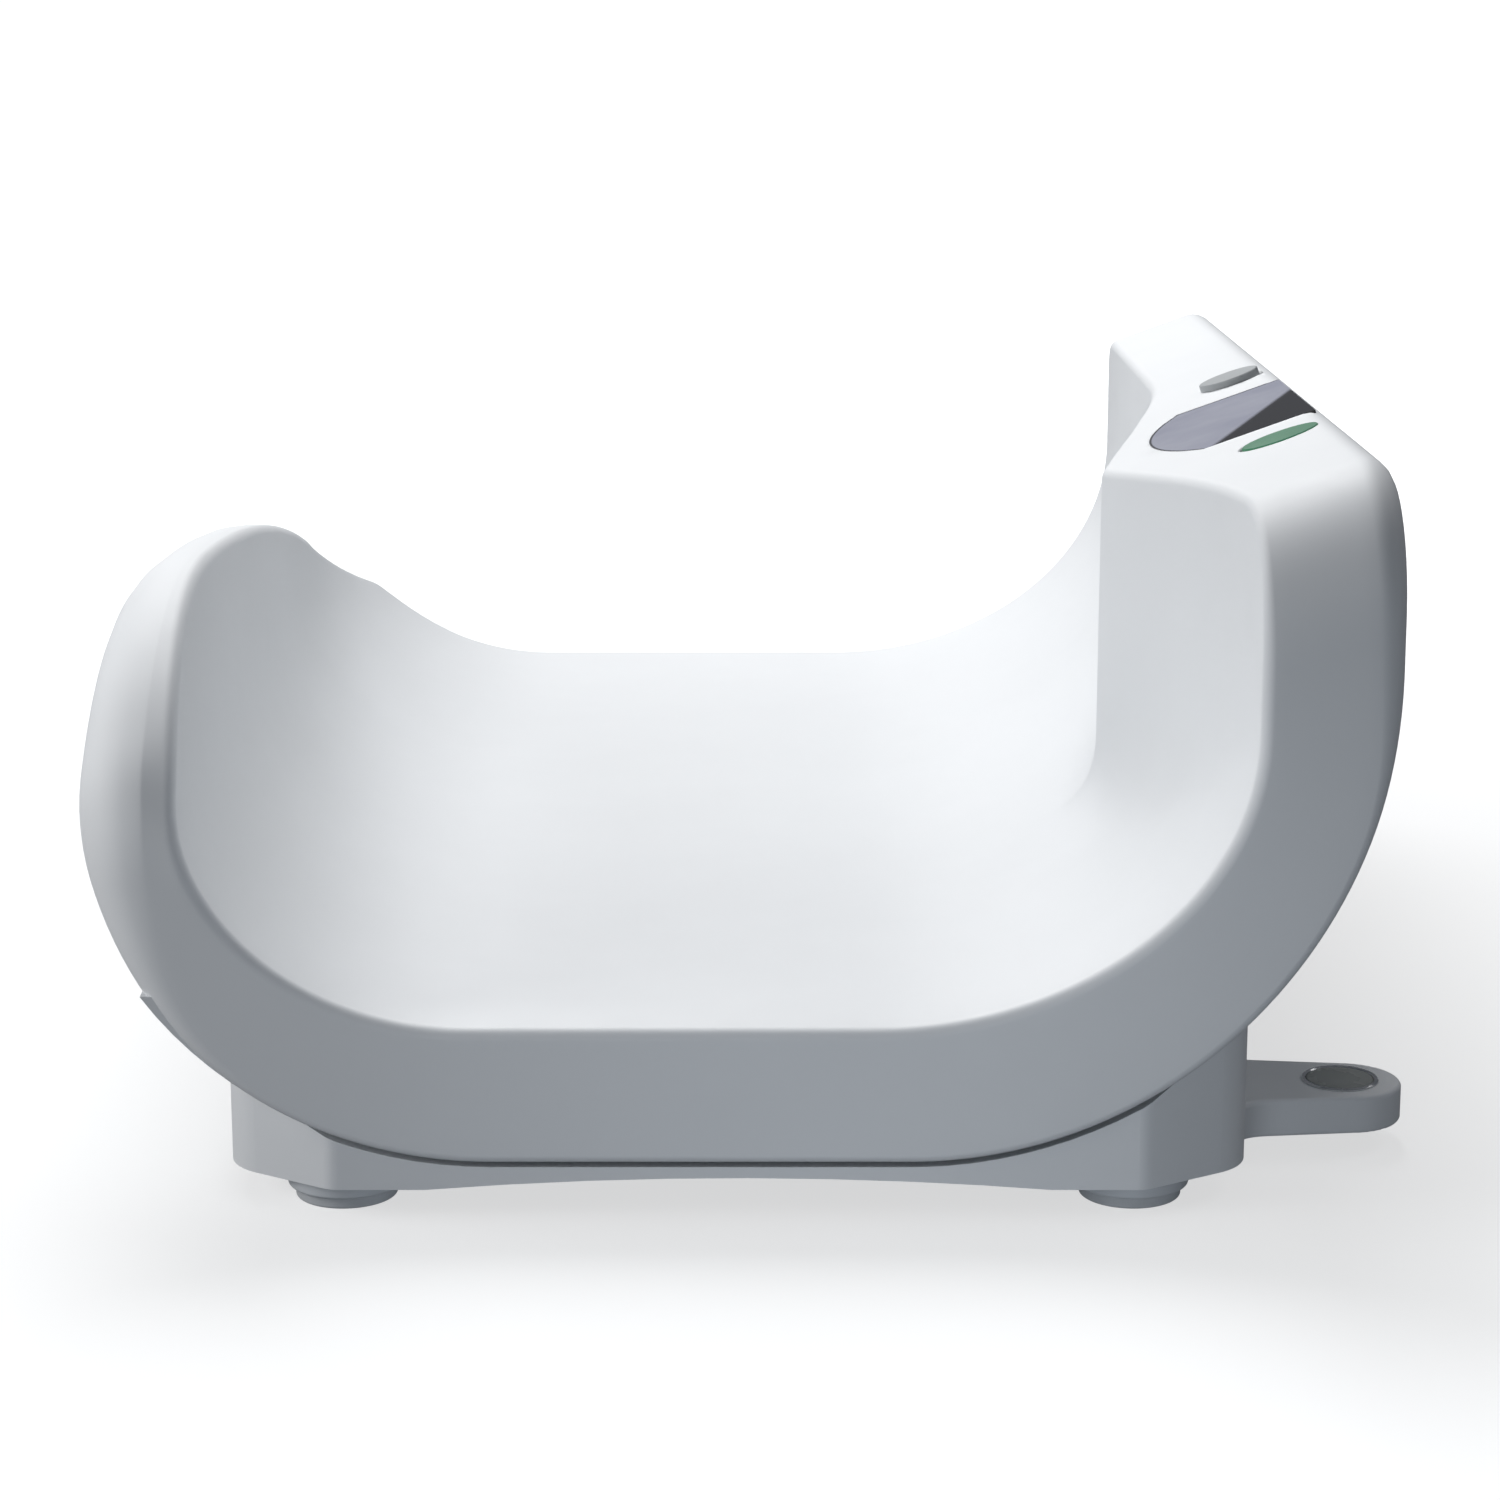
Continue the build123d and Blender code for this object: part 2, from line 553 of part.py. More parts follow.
SPACER_Y = (CELL_L - SPACER_L) / 2
for name, z, thick, way in (
    ("load_cell_base_spacer", DECK_TOP, SPACER_LOW, 1),
    ("load_cell_tray_spacer", CELL_HIGH, SPACER_HIGH, -1),
):
    with BuildPart() as spacer:
        with BuildSketch(BODY.offset(z)):
            with Locations((0, way * SPACER_Y)):
                Rectangle(CELL_W, SPACER_L)
            with Locations([(0, way * y) for y in CELL_SCREWS]):
                Circle(3.2, mode=Mode.SUBTRACT)
        extrude(amount=thick)
    save(spacer.part, name)

with BuildPart() as tray_frame:
    with BuildSketch(BODY.offset(FRAME_LOW)):
        RectangleRounded(2 * FRAME_X, 2 * FRAME_Y, 12)
        with Locations([(0, y) for y in (-140, 140)]):
            RectangleRounded(60, 60, 8, mode=Mode.SUBTRACT)
        with Locations([(x, 0) for x in (-46, 46)]):
            RectangleRounded(24, 160, 8, mode=Mode.SUBTRACT)
        with Locations(FRAME_SCREWS):
            Circle(2.2, mode=Mode.SUBTRACT)
        with Locations([(0, -y) for y in CELL_SCREWS]):
            Circle(3.2, mode=Mode.SUBTRACT)
    extrude(amount=FRAME_THICK)
save(tray_frame.part, "tray_frame")

frame_down = facing_down(FRAME_LOW)
save(screws(frame_down, below(FRAME_SCREWS), (3.6, 2.4), (2, FRAME_THICK + 4.2)), "frame_screws")
deck_down = facing_down(DECK_TOP - SKIN)
cell_base_points = below([(0, y) for y in CELL_SCREWS])
save(screws(deck_down, cell_base_points, (5, 3.8), (3, SKIN + SPACER_LOW + 12)), "load_cell_base_screws")
frame_up = BODY.offset(FRAME_HIGH)
cell_tray_points = [(0, -y) for y in CELL_SCREWS]
save(screws(frame_up, cell_tray_points, (5, 2.6), (3, FRAME_THICK + SPACER_HIGH + 12)), "load_cell_tray_screws")

with BuildPart() as overload_stops:
    add(pegs(BODY.offset(DECK_TOP - SKIN), STOPS, STOP_R, FRAME_LOW - STOP_GAP - DECK_TOP + SKIN))
    add(pegs(BODY.offset(DECK_TOP), STOPS, STOP_R + 2.5, 4))
save(overload_stops.part, "overload_stops")

# ---------------------------------------------------------------- screws of the shells and the base


with BuildPart() as shell_screws:
    for x in SHELL_SCREW_X:
        row = below([(x, y) for y in SCREW_ROWS])
        add(screws(facing_down(underside(x) + SHELL_SEAT), row, SHELL_HEAD, (1.3, 16)))
save(shell_screws.part, "shell_screws")
base_down = facing_down(BASE_BOTTOM + BASE_HEAD[1])
save(screws(base_down, below(BASE_SCREWS), BASE_HEAD, (1.5, 9)), "base_screws")

# ---------------------------------------------------------------- console


def oval(spot, size, grow=0.0):
    with Locations(spot):
        Ellipse(size[0] / 2 + grow, size[1] / 2 + grow)


def key(spot, size, proud):
    """Oval key cap with a flange that catches under the console face, and a stem."""
    with BuildPart() as cap:
        with BuildSketch(panel(KEY_TOP)):
            oval(spot, size)
        extrude(amount=KEY_TOP + proud)
        crown = cap.faces().sort_by(Axis(panel().origin, panel().z_dir))[-1]
        chamfer(crown.edges(), 0.35)
        with BuildSketch(panel(KEY_TOP + KEY_FLANGE_THICK)):
            oval(spot, size, KEY_FLANGE)
        extrude(amount=KEY_FLANGE_THICK)
        with BuildSketch(panel(KEY_TOP + KEY_FLANGE_THICK)):
            with Locations(spot):
                Circle(KEY_STEM_R)
        extrude(amount=-KEY_STEM)
    return cap.part


KEY_TOP = PANEL_SKIN + 0.05
save(key(START_KEY_POS, START_KEY_SIZE, START_KEY_PROUD), "start_key")
save(key(MODE_KEY_POS, MODE_KEY_SIZE, MODE_KEY_PROUD), "mode_key")

SPRING_END = SPRING_WIRE_R + SPRING_CLEAR
SPRING_RUN = BOARD_DEPTH - KEY_TOP - KEY_FLANGE_THICK - 2 * SPRING_END
for name, spot in (("start_key_spring", START_KEY_POS), ("mode_key_spring", MODE_KEY_POS)):
    with BuildPart() as key_spring:
        seat = panel(BOARD_DEPTH - SPRING_END)
        with BuildLine():
            foot = seat.from_local_coords(Vector(*spot))
            coil = Helix(SPRING_RUN / SPRING_TURNS, SPRING_RUN, SPRING_R, center=foot, direction=seat.z_dir)
        with BuildSketch(Plane(coil @ 0, z_dir=coil % 0)):
            Circle(SPRING_WIRE_R)
        sweep(path=coil, is_frenet=True)
    save(key_spring.part, name)

with BuildPart() as key_switches:
    with BuildSketch(panel(BOARD_DEPTH)):
        with Locations(START_KEY_POS, MODE_KEY_POS):
            Rectangle(SWITCH_SIZE, SWITCH_SIZE)
    extrude(amount=SWITCH_TALL)
    with BuildSketch(panel(BOARD_DEPTH - SWITCH_TALL)):
        with Locations(START_KEY_POS, MODE_KEY_POS):
            Circle(1.7)
    extrude(amount=0.9)
save(key_switches.part, "key_switches")

with BuildPart() as display_window:
    with BuildSketch(panel(WINDOW_THICK)):
        window_outline(0)
    extrude(amount=WINDOW_THICK)
save(display_window.part, "display_window")

with BuildPart() as window_gasket:
    with BuildSketch(panel(WINDOW_THICK + GASKET_THICK)):
        window_outline(-0.3)
        with BuildSketch(mode=Mode.SUBTRACT):
            window_outline(-WINDOW_LEDGE)
    extrude(amount=GASKET_THICK)
save(window_gasket.part, "window_gasket")

LCD_TOP = PANEL_SKIN + 0.25
with BuildPart() as lcd_holder:
    with BuildSketch(panel(BOARD_DEPTH)):
        with Locations(LCD_POS):
            Rectangle(LCD_SIZE[0] + 2 * HOLDER_RIM, LCD_SIZE[1] + 2 * HOLDER_RIM)
            Rectangle(LCD_SIZE[0] - 2 * HOLDER_RIM, LCD_SIZE[1] - 2 * HOLDER_RIM, mode=Mode.SUBTRACT)
    extrude(amount=BOARD_DEPTH - LCD_TOP)
    with BuildSketch(panel(LCD_TOP + LCD_THICK)):
        with Locations(LCD_POS):
            Rectangle(LCD_SIZE[0] + 2 * FIT, LCD_SIZE[1] + 2 * FIT)
    extrude(amount=LCD_THICK, mode=Mode.SUBTRACT)
save(lcd_holder.part, "lcd_holder")

with BuildPart() as lcd_panel:
    with BuildSketch(panel(LCD_TOP + LCD_THICK)):
        with Locations(LCD_POS):
            Rectangle(*LCD_SIZE)
    extrude(amount=LCD_THICK)
save(lcd_panel.part, "lcd_panel")

with BuildPart() as contact_strips:
    with BuildSketch(panel(BOARD_DEPTH)):
        with Locations([(LCD_POS[0] + way * (LCD_SIZE[0] / 2 - HOLDER_RIM - 1.5), LCD_POS[1]) for way in (-1, 1)]):
            Rectangle(2.4, LCD_SIZE[1] - 2 * HOLDER_RIM - 2)
    extrude(amount=BOARD_DEPTH - LCD_TOP - LCD_THICK)
save(contact_strips.part, "contact_strips")

with BuildPart() as main_board:
    with BuildSketch(panel(BOARD_DEPTH + BOARD_THICK)):
        with Locations(BOARD_POS):
            Rectangle(*BOARD_SIZE)
        with Locations(BOARD_SCREWS):
            Circle(1.7, mode=Mode.SUBTRACT)
    extrude(amount=BOARD_THICK)
save(main_board.part, "main_board")

board_down = panel(BOARD_DEPTH + BOARD_THICK)
board_down = Plane(board_down.origin, x_dir=board_down.x_dir, z_dir=-board_down.z_dir)
save(screws(board_down, below(BOARD_SCREWS), (2.6, 1.8), (1.25, BOARD_THICK + 6)), "board_screws")

CONNECTOR_DEPTH = BOARD_DEPTH + BOARD_THICK + CONNECTOR_TALL
for name, spot in (("signal_connector", SIGNAL_SPOT), ("power_connector", POWER_SPOT)):
    with BuildPart() as connector:
        with BuildSketch(panel(CONNECTOR_DEPTH)):
            with Locations(spot):
                Rectangle(*CONNECTOR_SIZE)
        extrude(amount=CONNECTOR_TALL)
    save(connector.part, name)

# ---------------------------------------------------------------- cables inside the tray


def cable(route, radius):
    """Straight runs joined by tangent arcs, each as large as its two runs allow."""
    points = [Vector(*point) for point in route]
    bends = []
    for before, here, after in zip(points, points[1:], points[2:]):
        into, out = here - before, after - here
        turn = into.get_angle(out) * pi / 180
        bends.append(0.45 * min(into.length, out.length) / tan(turn / 2))
    print("cable bend radii", [round(bend, 1) for bend in bends])
    with BuildPart() as tube:
        with BuildLine() as path:
            FilletPolyline(*points, radius=bends)
        with BuildSketch(Plane(points[0], z_dir=points[1] - points[0])):
            Circle(radius)
        sweep(path=path.line)
    long = sum(edge.length for edge in path.edges())
    print("volume", round(tube.part.volume), "section x length", round(pi * radius**2 * long))
    return tube.part


def wall_route(y, spot):
    """The climb inside the console wall, ending square on a connector."""
    end = panel(CONNECTOR_DEPTH).from_local_coords(Vector(*spot))
    climb = [(MID_X + 158, y, 95), (MID_X + 183, y, 130)]
    return [*climb, end - panel().z_dir * 36, end]


signal_route = [(MID_X + CELL_W / 2, SIGNAL_Y, 42), (MID_X + 66, SIGNAL_Y, 42), (MID_X + 114, SIGNAL_Y, 60)]
save(cable(signal_route + wall_route(SIGNAL_Y, SIGNAL_SPOT), CABLE_R), "signal_cable")
power_route = [
    (MID_X + HOLDER_X - HOLDER_W / 2, POWER_Y, POWER_LOW),
    (MID_X + POWER_HOLE_X, POWER_Y, POWER_LOW),
    (MID_X + POWER_HOLE_X, POWER_Y, 48),
    (MID_X + 116, POWER_Y + 1, 64),
]
save(cable(power_route + wall_route(POWER_Y, POWER_SPOT), WIRE_R), "power_cable")

with BuildPart() as cable_grommet:
    hole = [(POWER_HOLE_X, POWER_Y)]
    add(pegs(BODY.offset(DECK_TOP - SKIN), hole, GROMMET_R - 1, SKIN))
    add(pegs(BODY.offset(DECK_TOP), hole, GROMMET_R, 1.2))
    add(pegs(BODY.offset(DECK_TOP - SKIN - 1.2), hole, GROMMET_R, 1.2))
    add(pegs(BODY, hole, GROMMET_BORE, FLOOR), mode=Mode.SUBTRACT)
save(cable_grommet.part, "cable_grommet")

# ---------------------------------------------------------------- bubble level

level = [(LEVEL_X, TAB_Y)]
level_floor = BODY.offset(TAB_TOP - LEVEL_DEEP)
cup_r = LEVEL_R - LEVEL_RING - 0.05

with BuildPart() as level_ring:
    add(pegs(level_floor, level, LEVEL_R - 0.05, LEVEL_DEEP + 0.8))
    add(pegs(level_floor, level, LEVEL_R - LEVEL_RING, LEVEL_DEEP + 0.8), mode=Mode.SUBTRACT)
    chamfer(level_ring.faces().sort_by(Axis.Z)[-1].edges(), 0.4)
save(level_ring.part, "level_ring")

with BuildPart() as level_cup:
    add(pegs(level_floor, level, cup_r, LEVEL_DEEP - 1))
    add(pegs(level_floor.offset(LEVEL_WALL), level, cup_r - LEVEL_WALL, LEVEL_DEEP), mode=Mode.SUBTRACT)
save(level_cup.part, "level_cup")

with BuildPart() as level_lens:
    add(pegs(level_floor.offset(LEVEL_DEEP - 1), level, cup_r, LEVEL_LENS))
    chamfer(level_lens.faces().sort_by(Axis.Z)[-1].edges(), 0.5)
save(level_lens.part, "level_lens")

with BuildPart() as level_liquid:
    liquid_top = LEVEL_DEEP - 1 - LEVEL_WALL
    add(pegs(level_floor.offset(LEVEL_WALL), level, cup_r - LEVEL_WALL - 0.02, liquid_top))
    # the bubble
    add(pegs(level_floor.offset(LEVEL_DEEP - 2), level, 3.2, 2), mode=Mode.SUBTRACT)
save(level_liquid.part, "level_liquid")

# ---------------------------------------------------------------- levelling feet

with BuildPart() as foot_inserts:
    add(pegs(BODY.offset(INSERT_LOW), FEET.values(), INSERT_R, INSERT_HIGH - INSERT_LOW))
    add(pegs(BODY, FEET.values(), STUD_R + THREAD_CLEAR, FLOOR), mode=Mode.SUBTRACT)
save(foot_inserts.part, "foot_inserts")

for corner, place in FEET.items():
    with BuildPart() as foot_wheel:
        add(pegs(BODY.offset(WHEEL_LOW), [place], FOOT_R, WHEEL_HIGH - WHEEL_LOW))
        fillet(foot_wheel.edges().filter_by(GeomType.CIRCLE), 1)
        add(pegs(BODY, [place], STUD_R, FLOOR), mode=Mode.SUBTRACT)
    save(foot_wheel.part, f"foot_wheel_{corner}")

    with BuildPart() as foot_stud:
        add(pegs(BODY.offset(STUD_LOW), [place], STUD_R, STUD_TOP - STUD_LOW))
        chamfer(foot_stud.edges().filter_by(GeomType.CIRCLE), 0.6)
    save(foot_stud.part, f"foot_stud_{corner}")

    with BuildPart() as foot_pad:
        add(pegs(BODY, [place], PAD_R, PAD_THICK))
        fillet(foot_pad.edges().group_by(Axis.Z)[0], 0.8)
        add(pegs(BODY.offset(STUD_LOW - 0.1), [place], STUD_R + THREAD_CLEAR, FLOOR), mode=Mode.SUBTRACT)
    save(foot_pad.part, f"foot_pad_{corner}")

# ---------------------------------------------------------------- batteries

CELL_Z = HOLDER_LOW + 0.4 + CELL_R
ROW_X = [HOLDER_X + way * (CELL_R + CELL_CLEAR / 2) for way in (-1, 1)]
inside = HOLDER_L / 2 - HOLDER_WALL

with BuildPart() as battery_holder:
    with BuildSketch(BODY.offset(HOLDER_LOW)):
        with Locations((HOLDER_X, 0)):
            Rectangle(HOLDER_W, HOLDER_L)
    extrude(amount=HOLDER_TALL)
    with BuildSketch(BODY.offset(HOLDER_LOW)):
        with Locations((HOLDER_X, 0)):
            Rectangle(HOLDER_W - 2 * HOLDER_WALL, HOLDER_L - 2 * HOLDER_WALL)
    extrude(amount=HOLDER_TALL - HOLDER_WALL, mode=Mode.SUBTRACT)
save(battery_holder.part, "battery_holder")

with BuildPart() as batteries:
    for x in ROW_X:
        for start in (-inside + CONTACT_THICK, -inside + CONTACT_THICK + AA_LONG):
            with BuildSketch(across(start, CELL_Z)):
                with Locations((x, 0)):
                    Circle(CELL_R)
            extrude(amount=-(AA_LONG - 1))
            with BuildSketch(across(start + AA_LONG - 1, CELL_Z)):
                with Locations((x, 0)):
                    Circle(2.7)
            extrude(amount=-1)
save(batteries.part, "batteries")

with BuildPart() as battery_contacts:
    for y in (-inside + CONTACT_THICK, inside):
        with BuildSketch(across(y, CELL_Z)):
            with Locations([(x, 0) for x in ROW_X]):
                Rectangle(11, 11)
        extrude(amount=CONTACT_THICK)
save(battery_contacts.part, "battery_contacts")

with BuildPart() as battery_springs:
    wire = 0.4
    for x in ROW_X:
        run = CONTACT_SPRING - 2 * wire
        with BuildLine():
            foot = (MID_X + x, inside - CONTACT_THICK - wire, CELL_Z)
            coil = Helix(run / 3, run, 4, center=foot, direction=(0, -1, 0))
        with BuildSketch(Plane(coil @ 0, z_dir=coil % 0)):
            Circle(wire)
        sweep(path=coil, is_frenet=True)
save(battery_springs.part, "battery_springs")

with BuildPart() as battery_door:
    with BuildSketch(BODY.offset(DOOR_TOP - DOOR_THICK)):
        with Locations((HOLDER_X, 0)):
            RectangleRounded(DOOR_W, DOOR_L, 2)
    extrude(amount=DOOR_THICK)
    with BuildSketch(BODY.offset(DOOR_TOP - TAB_THICK)):
        with Locations([(HOLDER_X, y) for y in RAILS]):
            Rectangle(DOOR_W + 2 * DOOR_TAB, TAB_LONG - 1)
    extrude(amount=TAB_THICK)
    # finger grooves
    with BuildSketch(BODY.offset(DOOR_TOP - DOOR_THICK)):
        with Locations([(HOLDER_X, y) for y in (-46, -42, -38)]):
            SlotOverall(20, 1.6)
    extrude(amount=0.7, mode=Mode.SUBTRACT)
save(battery_door.part, "battery_door")
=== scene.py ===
"""Looks of the baby scale: its tray shell as a modelled mesh, and the finish of every surface."""

import math

import bmesh
import bpy
import numpy as np
from mathutils import Matrix, Vector, geometry


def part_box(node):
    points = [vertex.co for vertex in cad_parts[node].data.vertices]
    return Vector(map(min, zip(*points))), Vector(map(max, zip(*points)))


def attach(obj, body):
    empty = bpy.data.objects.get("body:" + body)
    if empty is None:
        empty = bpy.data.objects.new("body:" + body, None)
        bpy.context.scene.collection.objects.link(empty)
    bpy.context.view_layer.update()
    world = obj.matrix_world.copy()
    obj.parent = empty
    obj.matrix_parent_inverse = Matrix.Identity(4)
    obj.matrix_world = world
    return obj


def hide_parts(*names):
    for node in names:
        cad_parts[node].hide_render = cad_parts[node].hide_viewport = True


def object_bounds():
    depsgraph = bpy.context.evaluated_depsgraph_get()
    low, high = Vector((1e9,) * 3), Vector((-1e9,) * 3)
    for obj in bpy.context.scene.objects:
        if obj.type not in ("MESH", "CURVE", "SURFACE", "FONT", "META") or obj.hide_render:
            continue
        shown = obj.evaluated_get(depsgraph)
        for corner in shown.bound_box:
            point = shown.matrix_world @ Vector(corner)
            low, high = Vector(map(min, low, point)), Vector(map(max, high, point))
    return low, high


MM = 0.001

# Tray section in millimetres: X from the base's middle plane, Z above the tray floor, D behind the front face
LENGTH, LEFT, RIGHT, FLOOR = 550.0, 209.4, 206.8, 63.0
INNER_LEFT, INNER_LEFT_RX, INNER_LEFT_RZ, INNER_FLARE = 176.0, 90.0, 75.0, 5.0
INNER_RIGHT, INNER_RIGHT_RX, INNER_RIGHT_RZ = 162.0, 120.0, 95.0
BELLY, SEAM, SEAM_GAP = 44.7, 10.0, 0.3
OUTER_LEFT_RX, OUTER_LEFT_Z = 130.0, 75.0
OUTER_RIGHT_RX, OUTER_RIGHT_Z = 151.8, 115.0
SECTION_TOP = 205.0
END_PLATE = 3.0
SKIN = 2.4

# Low wall's rim, as a side profile
RIM_PEAK = 122.5
RIM_POINTS = ((0.0, 50.0), (52.0, 109.5), (170.0, RIM_PEAK), (393.0, 82.5), (LENGTH, 30.0))
RIM_CORNER = 16.0

# Console: its top rises to the outside and falls a little to the back
CONSOLE_RISE, CONSOLE_FALL, CONSOLE_BASE = 0.36, 0.0434, 106.2
CONSOLE_FRONT_R, CONSOLE_BACK_R = 48.0, 12.0
NOSE_X, NOSE_D = 128.5, 197.0
NOSE_FRONT = ((INNER_RIGHT, 7.0), (NOSE_X + 22, 113.0), (NOSE_X, NOSE_D))
NOSE_BEHIND = ((NOSE_X, NOSE_D), (NOSE_X + 19, 275.0), (INNER_RIGHT, 370.0))
NOSE_CREASE = 1.2

# Rounded edges
EDGE_IN, EDGE_OUT, EDGE_OUT_LEFT, EDGE_OUT_TOP = 4.0, 3.0, 22.0, 9.0
ARC_STEPS = 6

# Console face: U up the slope, V to the back
PANEL_X, PANEL_Y = 185.0, -60.0
WINDOW_OUT, WINDOW_IN, WINDOW_SHOULDER = 15.0, 40.0, 25.0
WINDOW_FRONT, WINDOW_BACK, WINDOW_DEEP = -48.0, 49.0, 1.5
WINDOW_LEDGE, FIT = 2.5, 0.2
KEYS = (((-2.0, -78.0), (27.0, 21.0)), ((0.5, 84.0), (23.0, 21.0)))
KEY_GAP = 0.35
SEAT_TOP, KEY_BOTTOM = 6.0, -8.0  # how far the cuts reach above and below the console face

# Where the outer edge's radius grows: heights above the tray floor, and run-out at the back
LEFT_GROWS, RIGHT_GROWS = (-30.0, 60.0), (60.0, 120.0)
BACK_GROWS, BACK_SHARE = (30.0, 90.0), 0.35

# Mesh density
CORNER_PULL, GRID_CLEAR, HOLE_CLEAR, HOLE_STEPS = 0.55, 2.5, 2.0, 60
FACE_STEPS, RUNGS = 110, 7

# Window film: a painted dark reflection outside a slanting line, with a thin dark border
DARK_REFLECTION_SLANT, DARK_REFLECTION_START, DARK_REFLECTION_FADE = 1.78, 7.0, 6.0
BORDER, BORDER_FADE = 1.0, 0.6

# Stage in metres: the floor's rings as (radius, height), its colour, and its glow near and far from the object
FLOOR_RINGS = ((3.0, 0.0), (4.2, 0.08), (5.2, 0.45), (5.8, 1.2), (6.0, 2.4), (6.0, 7.0))
FLOOR_STEPS = 72
FLOOR_COLOR, FLOOR_GLOW, BACKDROP_GLOW = (0.4, 0.405, 0.41), 0.62, 1.0
GLOW_NEAR, GLOW_FAR = 0.35, 1.3

# Lights: place, size and watts of each softbox, with its aim where that isn't the object's middle, and its colour
WHITE, COOL = (1.0, 1.0, 1.0), (0.86, 0.93, 1.0)
SOFTBOXES = {
    "top_box": ((-0.4, 1.6, 2.1), 1.8, 66, None, WHITE),
    "left_box": ((-2.0, -0.25, 0.9), 1.4, 17, None, WHITE),
    "arm_box": ((-0.75, -0.52, 0.3), 0.4, 1.1, (-0.2, -0.2, 0.2), WHITE),
    "right_box": ((1.8, 0.8, 1.9), 1.2, 6, None, WHITE),
    "low_box": ((0.06, -0.6, 0.02), 0.25, 0.4, (0.03, -0.275, 0.06), COOL),
}
SKY_COLOR, SKY_STRENGTH = (0.84, 0.90, 1.0, 1), 0.12

CAMERA_PLACE, CAMERA_PITCH, CAMERA_LENS = (-0.0030, -1.462, 0.450), 76, 94.9

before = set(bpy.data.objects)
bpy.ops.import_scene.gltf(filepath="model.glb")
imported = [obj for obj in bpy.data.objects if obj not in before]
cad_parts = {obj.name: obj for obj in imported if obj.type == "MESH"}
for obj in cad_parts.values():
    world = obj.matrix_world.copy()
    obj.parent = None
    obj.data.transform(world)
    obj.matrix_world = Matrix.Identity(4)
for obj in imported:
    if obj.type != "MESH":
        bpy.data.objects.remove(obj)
cad_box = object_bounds()
plate_low, plate_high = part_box("base_bottom_plate")
MID_X = (plate_low[0] + plate_high[0]) / 2 / MM
ROOT = "scale"

# ---------------------------------------------------------------- tray surfaces


def smooth_min(a, b, k):
    """The smaller of two values, rounded over k where they cross."""
    k = np.maximum(k, 1e-6)
    h = np.clip(0.5 + 0.5 * (b - a) / k, 0, 1)
    return b * (1 - h) + a * h - k * h * (1 - h)


def smooth_line(points, start, end, count):
    """Smooth curve through the points that leaves along `start` and arrives along `end`."""
    points = np.array(points, float)
    gap = np.hypot(*np.diff(points, axis=0).T)
    knots = np.concatenate([[0], np.cumsum(gap)])
    n = len(points)
    lines, right = np.zeros((n, n)), np.zeros((n, 2))
    lines[0, 0] = lines[-1, -1] = 1
    right[0], right[-1] = np.array(start) / np.hypot(*start), np.array(end) / np.hypot(*end)
    for i in range(1, n - 1):
        a, b = gap[i - 1], gap[i]
        lines[i, i - 1 : i + 2] = b, 2 * (a + b), a
        right[i] = 3 * (b / a * (points[i] - points[i - 1]) + a / b * (points[i + 1] - points[i]))
    slopes = np.linalg.solve(lines, right)
    t = np.linspace(0, knots[-1], count)
    i = np.clip(np.searchsorted(knots, t, side="right") - 1, 0, n - 2)
    h, u = gap[i][:, None], ((t - knots[i]) / gap[i])[:, None]
    held = (1 + 2 * u) * (1 - u) ** 2 * points[i] + u**2 * (3 - 2 * u) * points[i + 1]
    return held + h * (u * (1 - u) ** 2 * slopes[i] - u**2 * (1 - u) * slopes[i + 1])


def half_section(cx, cz, rx, rz, side, rest):
    """From the section's middle along a straight floor, a quarter ellipse and an upright wall."""
    turn = np.linspace(0, math.pi / 2, 500)
    rise = np.linspace(cz, SECTION_TOP, 100)[1:]
    x = np.concatenate([[rest], cx + side * rx * np.sin(turn), np.full(len(rise), cx + side * rx)])
    z = np.concatenate([[cz - rz], cz - rz * np.cos(turn), rise])
    return np.column_stack([x, z])


class Section:
    """A tray section that can be read by the distance run along it, from the left top to the right top."""

    def __init__(self, left, right):
        self.points = np.vstack([left[::-1], right[1:]])
        step = np.diff(self.points, axis=0)
        self.run = np.concatenate([[0], np.cumsum(np.hypot(step[:, 0], step[:, 1]))])
        self.low = self.run[len(left) - 1]

    def at(self, s):
        return np.column_stack([np.interp(s, self.run, self.points[:, i]) for i in (0, 1)])

    def left_run(self, z):
        """Distance run at height z on the left wall."""
        keep = self.run <= self.low
        return np.interp(z, self.points[keep, 1][::-1], self.run[keep][::-1])

    def right_run(self, z):
        keep = self.run >= self.low
        return np.interp(z, self.points[keep, 1], self.run[keep])


def inner_section():
    left = half_section(-INNER_LEFT + INNER_LEFT_RX, INNER_LEFT_RZ, INNER_LEFT_RX, INNER_LEFT_RZ, -1, -20)
    flare = np.maximum(left[:, 1] - INNER_LEFT_RZ, 0) / (RIM_PEAK - INNER_LEFT_RZ)
    left[:, 0] -= INNER_FLARE * flare**1.4
    right = half_section(INNER_RIGHT - INNER_RIGHT_RX, INNER_RIGHT_RZ, INNER_RIGHT_RX, INNER_RIGHT_RZ, 1, -20)
    return Section(left, right)


def outer_section():
    left = half_section(-LEFT + OUTER_LEFT_RX, OUTER_LEFT_Z, OUTER_LEFT_RX, OUTER_LEFT_Z + BELLY, -1, -20)
    right = half_section(RIGHT - OUTER_RIGHT_RX, OUTER_RIGHT_Z, OUTER_RIGHT_RX, OUTER_RIGHT_Z + BELLY, 1, -20)
    return Section(left, right)


INNER, OUTER = inner_section(), outer_section()


def nose_line():
    """The nose's plan as (X, D) points, from the front to where it meets the wall behind."""
    front = smooth_line(NOSE_FRONT, (0, 1), (-0.25, 1), 60)
    behind = smooth_line(NOSE_BEHIND, (0.2, 1), (0, 1), 60)
    return np.vstack([front, behind[1:]])


NOSE_LINE = nose_line()


def nose_edge(d):
    """How far the console wall's inner face stands from the middle plane, at its top."""
    return np.interp(d, NOSE_LINE[:, 1], NOSE_LINE[:, 0])


